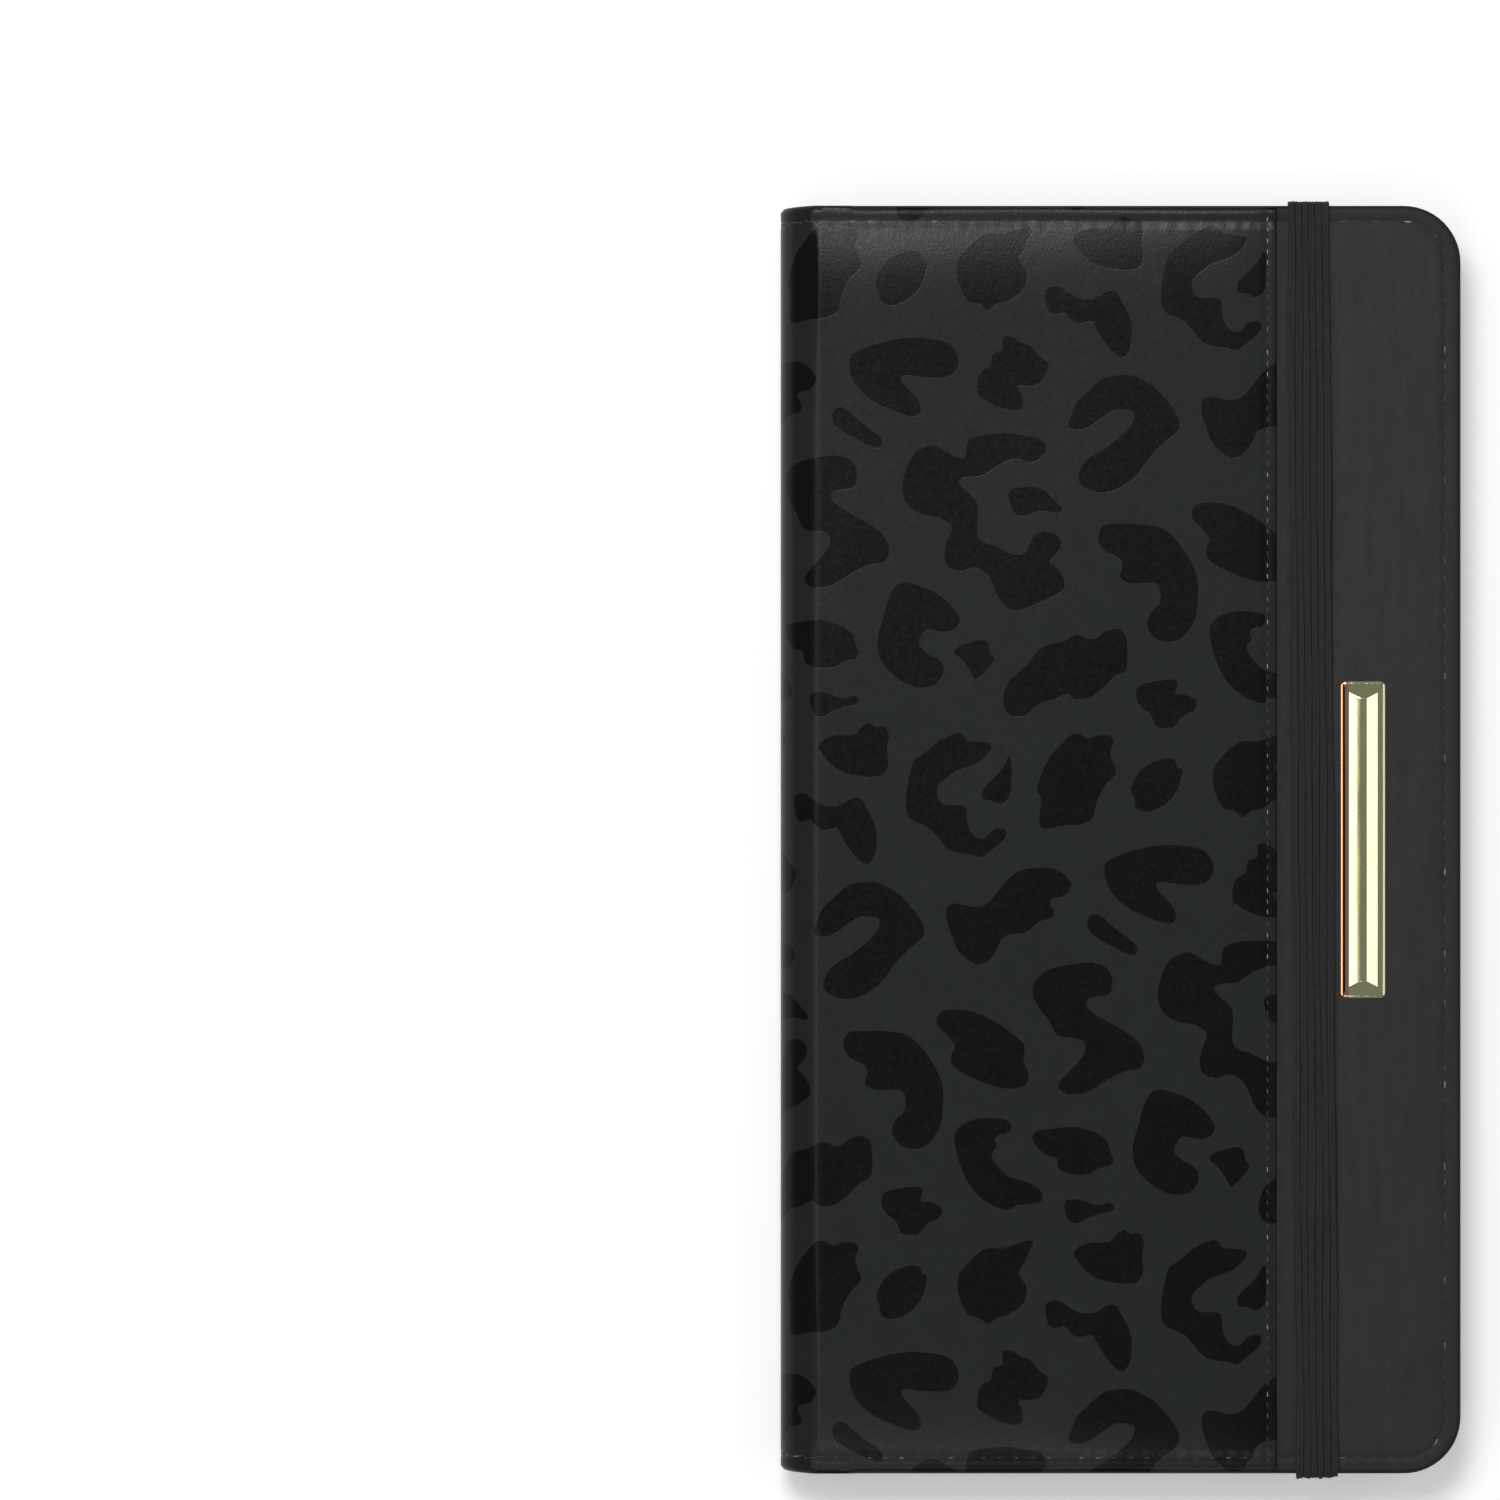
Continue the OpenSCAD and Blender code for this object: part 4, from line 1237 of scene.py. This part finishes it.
def sew_spine(number, inside, seed):
    """Stitches across the stretch of spine over one fold line, at both of its ends."""
    a_from, a_to = fold_part(number)
    count = max(1, round((a_to - a_from) * SPINE_R / STITCH_PITCH))
    rng = np.random.default_rng(seed)
    stitches = []
    for k in range(count):
        angle = a_from + (k + 0.5) / count * (a_to - a_from)
        outward = np.array([-math.sin(angle), 0.0, math.cos(angle)])
        for side in (-1, 1):
            if inside:
                x, z = lining_place(angle, -0.06)
            else:
                height = outer_spine_height(angle * SPINE_R, np.array(SEAM_INSET))
                x, z = place_on(LEATHER_PROFILE, angle, height)
            middle = (float(x), side * (spine_end_y(angle) - SEAM_INSET), float(z))
            way = np.array([-math.cos(angle), 0.1 * side, -math.sin(angle)])
            # How pale the thread is drawn; the rare palest ones are painted glints.
            shade_to_glint = min(1.0, GLINT_LEVEL * (0.4 + 9 * rng.random() ** 6))
            stitches.append((middle, way, -outward if inside else outward, shade_to_glint))
    name = f"spine_{'inner' if inside else 'outer'}_stitches_{number + 1}"
    piece = stitch_row(name, stitches, STITCH_L * (0.78 if inside else 1))
    face_outwards(piece)
    hang_over_fold(piece, number, inside)


# The lap's finer, closer thread, with more of it drawn pale as painted glints.
LAP_THREAD = {"glint_level": 0.32, "pitch": 1.6, "radius": 0.06, "share": 0.8}
lap_path = down_path(SEAM_X - LAP_SEAM_INSET, 200)
sew("front_outer_seam", side_path(FOLD_X + 1), outside_z, 11, glint_level=0.055)
sew("back_outer_seam", side_path(FOLD_X + 1), lying_z, 12, glint_level=0.055, mirrored=True)
sew("front_lap_seam", lap_path, outside_z, 13, **LAP_THREAD)
sew("back_lap_seam", lap_path, lying_z, 14, mirrored=True, **LAP_THREAD)
for fold in range(4):
    sew_spine(fold, False, 30 + fold)
    sew_spine(fold, True, 40 + fold)
mouth_path = down_path(POCKET_X + MOUTH_SEAM_INSET, 300)
card_xs = np.linspace(POCKET_X + 1.0, FORE_EDGE_X - 1.0, 200)
card_path = np.column_stack([card_xs, np.full(200, CARD_MOUTH_Y - MOUTH_SEAM_INSET)])
sew("back_inner_seam", side_path(FOLD_X + 0.5), pocket_z, 15)
sew("front_inner_seam", side_path(FOLD_X + 0.5), front_inner_z, 16, mirrored=True)
sew("back_mouth_seam", mouth_path, pocket_z, 17)
sew("front_mouth_seam", mouth_path, front_inner_z, 18, mirrored=True)
sew("card_mouth_seam", card_path, front_inner_z, 19, mirrored=True)


# Elastic strap

RIBS = 6
POINTS_PER_RIB = 14
STRAP_X = (STRAP_LOW[0] + STRAP_HIGH[0]) / 2 + 0.02
STRAP_W = 0.97 * (STRAP_HIGH[0] - STRAP_LOW[0])
STRAP_T = 0.9
STRAP_TURN_R = 0.6
# How far the strap leans over the cover's height, how far it stops short of its CAD solid at its top end,
# and its slant down round the covers' ends
STRAP_TILT = 0.65
STRAP_SHORT = 0.22
STRAP_SLANT = 0.053


def turn(y, z, a_from, a_to):
    """A rounded turn about a centre in Y and Z, angles measured from +Y towards +Z."""
    ways = [(math.cos(a), math.sin(a)) for a in np.linspace(a_from, a_to, 7)[1:-1]]
    return [((y + STRAP_TURN_R * way[0], z + STRAP_TURN_R * way[1]), way) for way in ways]


def strap_path():
    """Places in Y and Z along the strap's middle line, each with its outward direction."""
    top_z = STRAP_HIGH[2] - STRAP_T / 2
    turn_z = top_z - STRAP_TURN_R
    side_y = STRAP_HIGH[1] - STRAP_T / 2
    end_y = side_y - STRAP_SHORT
    leg = np.linspace(STRAP_LOW[2], turn_z, 22)
    stations = [((-side_y, z), (-1.0, 0.0)) for z in leg]
    stations += turn(-side_y + STRAP_TURN_R, turn_z, math.pi, math.pi / 2)
    run = np.linspace(-side_y + STRAP_TURN_R, end_y - STRAP_TURN_R, 260)
    stations += [((y, top_z), (0.0, 1.0)) for y in run]
    stations += turn(end_y - STRAP_TURN_R, turn_z, math.pi / 2, 0)
    return stations + [((end_y, z), (1.0, 0.0)) for z in leg[::-1]]


def ribbed_ribbon(name, stations, seed):
    """Ribbed elastic along stations in Y and Z: round ribs of uneven height that wander a little, with
    painted shade in the grooves between them.
    """
    across = np.linspace(-1, 1, RIBS * POINTS_PER_RIB + 1)
    rng = np.random.default_rng(seed)
    knots = np.linspace(-1, 1, RIBS + 1)
    rib_rise = np.interp(across, knots, rng.uniform(0.78, 1.0, RIBS + 1))
    deep = np.interp(across, knots, rng.uniform(0.6, 1.0, RIBS + 1))
    # The lower end is gathered in scallops, and is pulled in most at its right side
    scallop = 0.24 * np.abs(np.sin(across * 5.8 + 5.6)) ** 0.8 + 0.32 * smoothstep(0.5, 1.0, across)
    outer, inner, groove_shade = [], [], []
    s, last = 0.0, stations[0][0]
    for (y, z), (ny, nz) in stations:
        s += math.hypot(y - last[0], z - last[1])
        last = (y, z)
        wander = 0.13 * np.sin(across * 2.2 + s / 9.0 + seed) + 0.07 * np.sin(s / 3.7 + across * 5)
        turns = (across + 1) * RIBS * math.pi + 0.35 * np.sin(across * 4 + s / 14)
        rib = np.abs(np.sin(turns))
        main = 0.68 + 0.32 * np.cos(turns)
        bulge = STRAP_T / 2 * (1 - main * 0.62 * (1 - np.sqrt(rib))) * rib_rise
        turned = math.exp(-(((abs(y) - TOP_Y) / 0.7) ** 2))
        gather = 0.05 * turned * np.sin(across * 11 + s * 3)
        x = STRAP_X + across * STRAP_W / 2 + wander * 0.6
        x = x - STRAP_TILT * y / TOP_Y + STRAP_SLANT * (STRAP_HIGH[2] - z)
        out = np.maximum(bulge + gather - 0.12 * turned - scallop * max(-ny, 0), 0.1 - 0.62 * bulge)
        outer.append(np.stack([x, y + out * ny, z + out * nz], -1))
        inner.append(np.stack([x, y - 0.62 * bulge * ny, z - 0.62 * bulge * nz], -1))
        flicker = 0.75 + 0.25 * np.sin(s / 5.0 + across * 17)
        # How much shade is painted into each groove, varied from rib to rib and along the strap.
        groove_shade.append((1 - smoothstep(0.12, 0.85, rib)) * main * deep * flicker)
    marks = {"groove_shade": np.tile(np.array(groove_shade).ravel(), 2)}
    faces = closed_sheet(len(stations), len(across))
    piece = mesh_object(name, two_layers(outer, inner), faces, ELASTIC, marks)
    face_outwards(piece)
    return piece


strap = ribbed_ribbon("ribbed_strap", strap_path(), 1)
hang(strap, "strap", "elastic_strap", crisp=75)
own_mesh(strap)

# The threads that hold each end, as distances from its middle, and how pale each is drawn, the palest as
# painted glints
END_THREADS = ((-2.2, 0.08), (-0.7, 0.3), (0.8, 0.05), (2.3, 0.12))
ends_z = (ENDS_LOW[2] + ENDS_HIGH[2]) / 2
for side, end_name in ((1, "strap_end_top"), (-1, "strap_end_bottom")):
    end_ys = np.linspace(ENDS_HIGH[1] - 3.6, ENDS_HIGH[1], 12)
    end = ribbed_ribbon(end_name, [((side * y, ends_z), (0.0, 1.0)) for y in end_ys], 2)
    hang(end, "back_cover", "strap_ends", crisp=75)
    sewn_x = STRAP_X - side * STRAP_TILT + STRAP_SLANT * (STRAP_HIGH[2] - ends_z)
    sewn_y = side * (TOP_Y - SEAM_INSET)
    sewn = [((sewn_x + dx, sewn_y, ends_z + 0.42), (1, 0, 0), UP, shade_to_glint) for dx, shade_to_glint in END_THREADS]
    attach(stitch_row(f"{end_name}_stitches", sewn, 1.2), "back_cover")


# Trim bar

# The bar's sizes, as in the part's source, and how far the lip falls from the facets to its rim
LIP_W, LIP_T, LIP_FALL = 0.35, 0.35, 0.10
SIDE_W, SIDE_H = 0.8, 1.1
RIDGE_W, RIDGE_H = 0.85, 1.6
BAR_END_L = 2.1
BAR_CORNER_R = 0.8


def bar_lip(work, half_w, half_l):
    """The thin lip under the facets: rings of points from its foot to its sloping top."""
    rings = []
    for z, inset in ((0, 0), (LIP_T - LIP_FALL, 0), (LIP_T, LIP_W)):
        ring = []
        for cx, cy, a0 in ((1, 1, 0), (-1, 1, 90), (-1, -1, 180), (1, -1, 270)):
            for k in range(7):
                a = math.radians(a0 + 15 * k)
                x = cx * (half_w - BAR_CORNER_R) + (BAR_CORNER_R - inset) * math.cos(a)
                y = cy * (half_l - BAR_CORNER_R) + (BAR_CORNER_R - inset) * math.sin(a)
                ring.append(work.verts.new((x, y, z)))
        rings.append(ring)
    work.faces.new(rings[0][::-1])
    work.faces.new(rings[-1])
    for low, high in zip(rings, rings[1:]):
        for i in range(len(low)):
            j = (i + 1) % len(low)
            work.faces.new((low[i], low[j], high[j], high[i]))


def bar_facets(work, half_w, half_l):
    """The closed block of facets that stands on the lip."""
    side_x, end_y = half_w - LIP_W, half_l - LIP_W
    shoulder_y = end_y - (SIDE_H - LIP_T) * BAR_END_L / (RIDGE_H - LIP_T)
    rows = [
        (side_x, end_y, LIP_T - 0.15),
        (side_x, end_y, LIP_T),
        (side_x - SIDE_W, shoulder_y, SIDE_H),
        (RIDGE_W / 2, end_y - BAR_END_L, RIDGE_H),
    ]
    vert = {}
    for k, (x, y, z) in enumerate(rows):
        for sx in (-1, 1):
            for sy in (-1, 1):
                vert[k, sx, sy] = work.verts.new((sx * x, sy * y, z))
    for sx in (-1, 1):
        for k in range(3):
            work.faces.new((vert[k, sx, -1], vert[k, sx, 1], vert[k + 1, sx, 1], vert[k + 1, sx, -1]))
    for sy in (-1, 1):
        work.faces.new((vert[0, -1, sy], vert[0, 1, sy], vert[1, 1, sy], vert[1, -1, sy]))
        work.faces.new([vert[k, -1, sy] for k in (1, 2, 3)] + [vert[k, 1, sy] for k in (3, 2, 1)])
    for k in (3, 0):
        work.faces.new((vert[k, -1, -1], vert[k, 1, -1], vert[k, 1, 1], vert[k, -1, 1]))


def trim_bar():
    """The faceted bar on its thin lip, with softly broken edges."""
    half_w, half_l, _ = (BAR_HIGH - BAR_LOW) / 2
    middle_x, middle_y, _ = (BAR_LOW + BAR_HIGH) / 2
    work = bmesh.new()
    bar_lip(work, half_w, half_l)
    bar_facets(work, half_w, half_l)
    bmesh.ops.recalc_face_normals(work, faces=work.faces)
    raised = [e for e in work.edges if min(v.co.z for v in e.verts) > LIP_T - 0.2]
    edges = [e for e in raised if e.calc_face_angle(0) > math.radians(8)]
    bmesh.ops.bevel(work, geom=edges, offset=0.06, segments=3, profile=0.5, affect="EDGES")
    for v in work.verts:
        v.co = Vector(((v.co.x + middle_x) * MM, (v.co.y + middle_y) * MM, (v.co.z + BAND_FACE_Z) * MM))
    mesh = bpy.data.meshes.new("faceted_bar")
    work.to_mesh(mesh)
    work.free()
    mesh.materials.append(GOLD)
    mesh.shade_smooth()
    piece = in_scene("faceted_bar", mesh)
    face_outwards(piece)
    hang(piece, "front_cover", "trim_bar", crisp=25)


trim_bar()


# Pieces that keep their CAD shape

def finish_node(name, material, soften):
    """Gives a CAD node its finish and, where soften says how much, slightly rounded edges."""
    piece = frame["nodes"][name]
    piece.data.materials.clear()
    piece.data.materials.append(material)
    if soften:
        weld = piece.modifiers.new("weld", "WELD")
        weld.merge_threshold = 0.00001
        bevel = piece.modifiers.new("soft_edges", "BEVEL")
        bevel.width = soften * MM
        bevel.segments = 2
        bevel.limit_method = "ANGLE"
        bevel.angle_limit = math.radians(40)


for node_name, material, soften in (
    ("back_lining", LINING, 0.12),
    ("front_lining", LINING, 0.12),
    ("divider_strip", POCKET, 0.12),
    ("back_board", BOARD, None),
    ("front_board", BOARD, None),
    ("clear_divider", VINYL, None),
):
    finish_node(node_name, material, soften)


# Floor, light and camera

FLOOR_SIZE = 3.0
FLOOR_GLOW = 0.29
WORLD_LEVEL = 0.22
WHITE = (1, 1, 1, 1)
SENSOR_W = 36
FRAME_W = 0.2158
CAMERA_X, CAMERA_Y, CAMERA_H = -0.0533, 0.0129, 1.5


def pick_shader(tree, share, first, second, output):
    """Sends first or second to the output, as share says."""
    pick = node(tree, "ShaderNodeMixShader")
    for value, socket in ((share, "Fac"), (first, 1), (second, 2)):
        tree.links.new(value, pick.inputs[socket])
    tree.links.new(pick.outputs["Shader"], tree.nodes[output].inputs["Surface"])


def floor():
    """A pale floor that takes the shadow, a little brighter to the camera than to the cover."""
    mesh = bpy.data.meshes.new("floor")
    h = FLOOR_SIZE / 2
    mesh.from_pydata([(-h, -h, 0), (h, -h, 0), (h, h, 0), (-h, h, 0)], [], [(0, 1, 2, 3)])
    looks = {"Base_Color": (0.86, 0.86, 0.86, 1), "Roughness": 0.9, "Specular_IOR_Level": 0.0}
    material, tree, shader = principled("pale_floor", **looks)
    path = node(tree, "ShaderNodeLightPath")
    seen = maths(tree, "MAXIMUM", path.outputs["Is Camera Ray"], path.outputs["Is Transmission Ray"])
    glow = node(tree, "ShaderNodeEmission", {"Strength": FLOOR_GLOW, "Color": WHITE})
    both = node(tree, "ShaderNodeAddShader")
    tree.links.new(shader.outputs["BSDF"], both.inputs[0])
    tree.links.new(glow.outputs["Emission"], both.inputs[1])
    pick_shader(tree, seen, shader.outputs["BSDF"], both.outputs["Shader"], "Material Output")
    mesh.materials.append(material)
    in_scene("floor", mesh)


def softbox(name, place, size, level):
    """A rectangular lamp that faces the cover. level is its brightness, where 1 is white."""
    lamp = bpy.data.lights.new(name, "AREA")
    lamp.shape = "RECTANGLE"
    lamp.size, lamp.size_y = size
    lamp.energy = level * math.pi * size[0] * size[1]
    piece = in_scene(name, lamp)
    piece.location = place
    piece.rotation_euler = (-Vector(place)).to_track_quat("-Z", "Y").to_euler()


def world():
    """Dim light from all round, and white behind the cover."""
    made = bpy.data.worlds.new("studio")
    made.use_nodes = True
    tree = made.node_tree
    back = tree.nodes["Background"]
    back.inputs["Color"].default_value = (0.93, 0.95, 1.0, 1)
    back.inputs["Strength"].default_value = WORLD_LEVEL
    seen = node(tree, "ShaderNodeLightPath").outputs["Is Camera Ray"]
    white = node(tree, "ShaderNodeBackground", {"Color": WHITE, "Strength": 1.0})
    pick_shader(tree, seen, back.outputs["Background"], white.outputs["Background"], "World Output")
    bpy.context.scene.world = made


def camera():
    """A camera straight above, so far off that the cover's height hardly shows."""
    data = bpy.data.cameras.new("camera")
    data.sensor_width = SENSOR_W
    data.lens = SENSOR_W * (CAMERA_H - COVER_T * MM) / FRAME_W
    data.clip_start, data.clip_end = 0.05, 20
    piece = in_scene("camera", data)
    piece.location = (CAMERA_X, CAMERA_Y, CAMERA_H)
    bpy.context.scene.camera = piece


floor()
world()
softbox("key", (-0.17, 0.45, 1.0), (0.40, 0.36), 15.0)
softbox("left", (-0.60, 0.0, 0.98), (1.1, 0.26), 1.8)
softbox("right", (0.70, 0.0, 0.98), (0.9, 0.22), 1.5)
softbox("near", (-0.10, -0.47, 1.0), (0.34, 0.16), 5.5)
camera()
bpy.context.scene.view_settings.view_transform = "Standard"
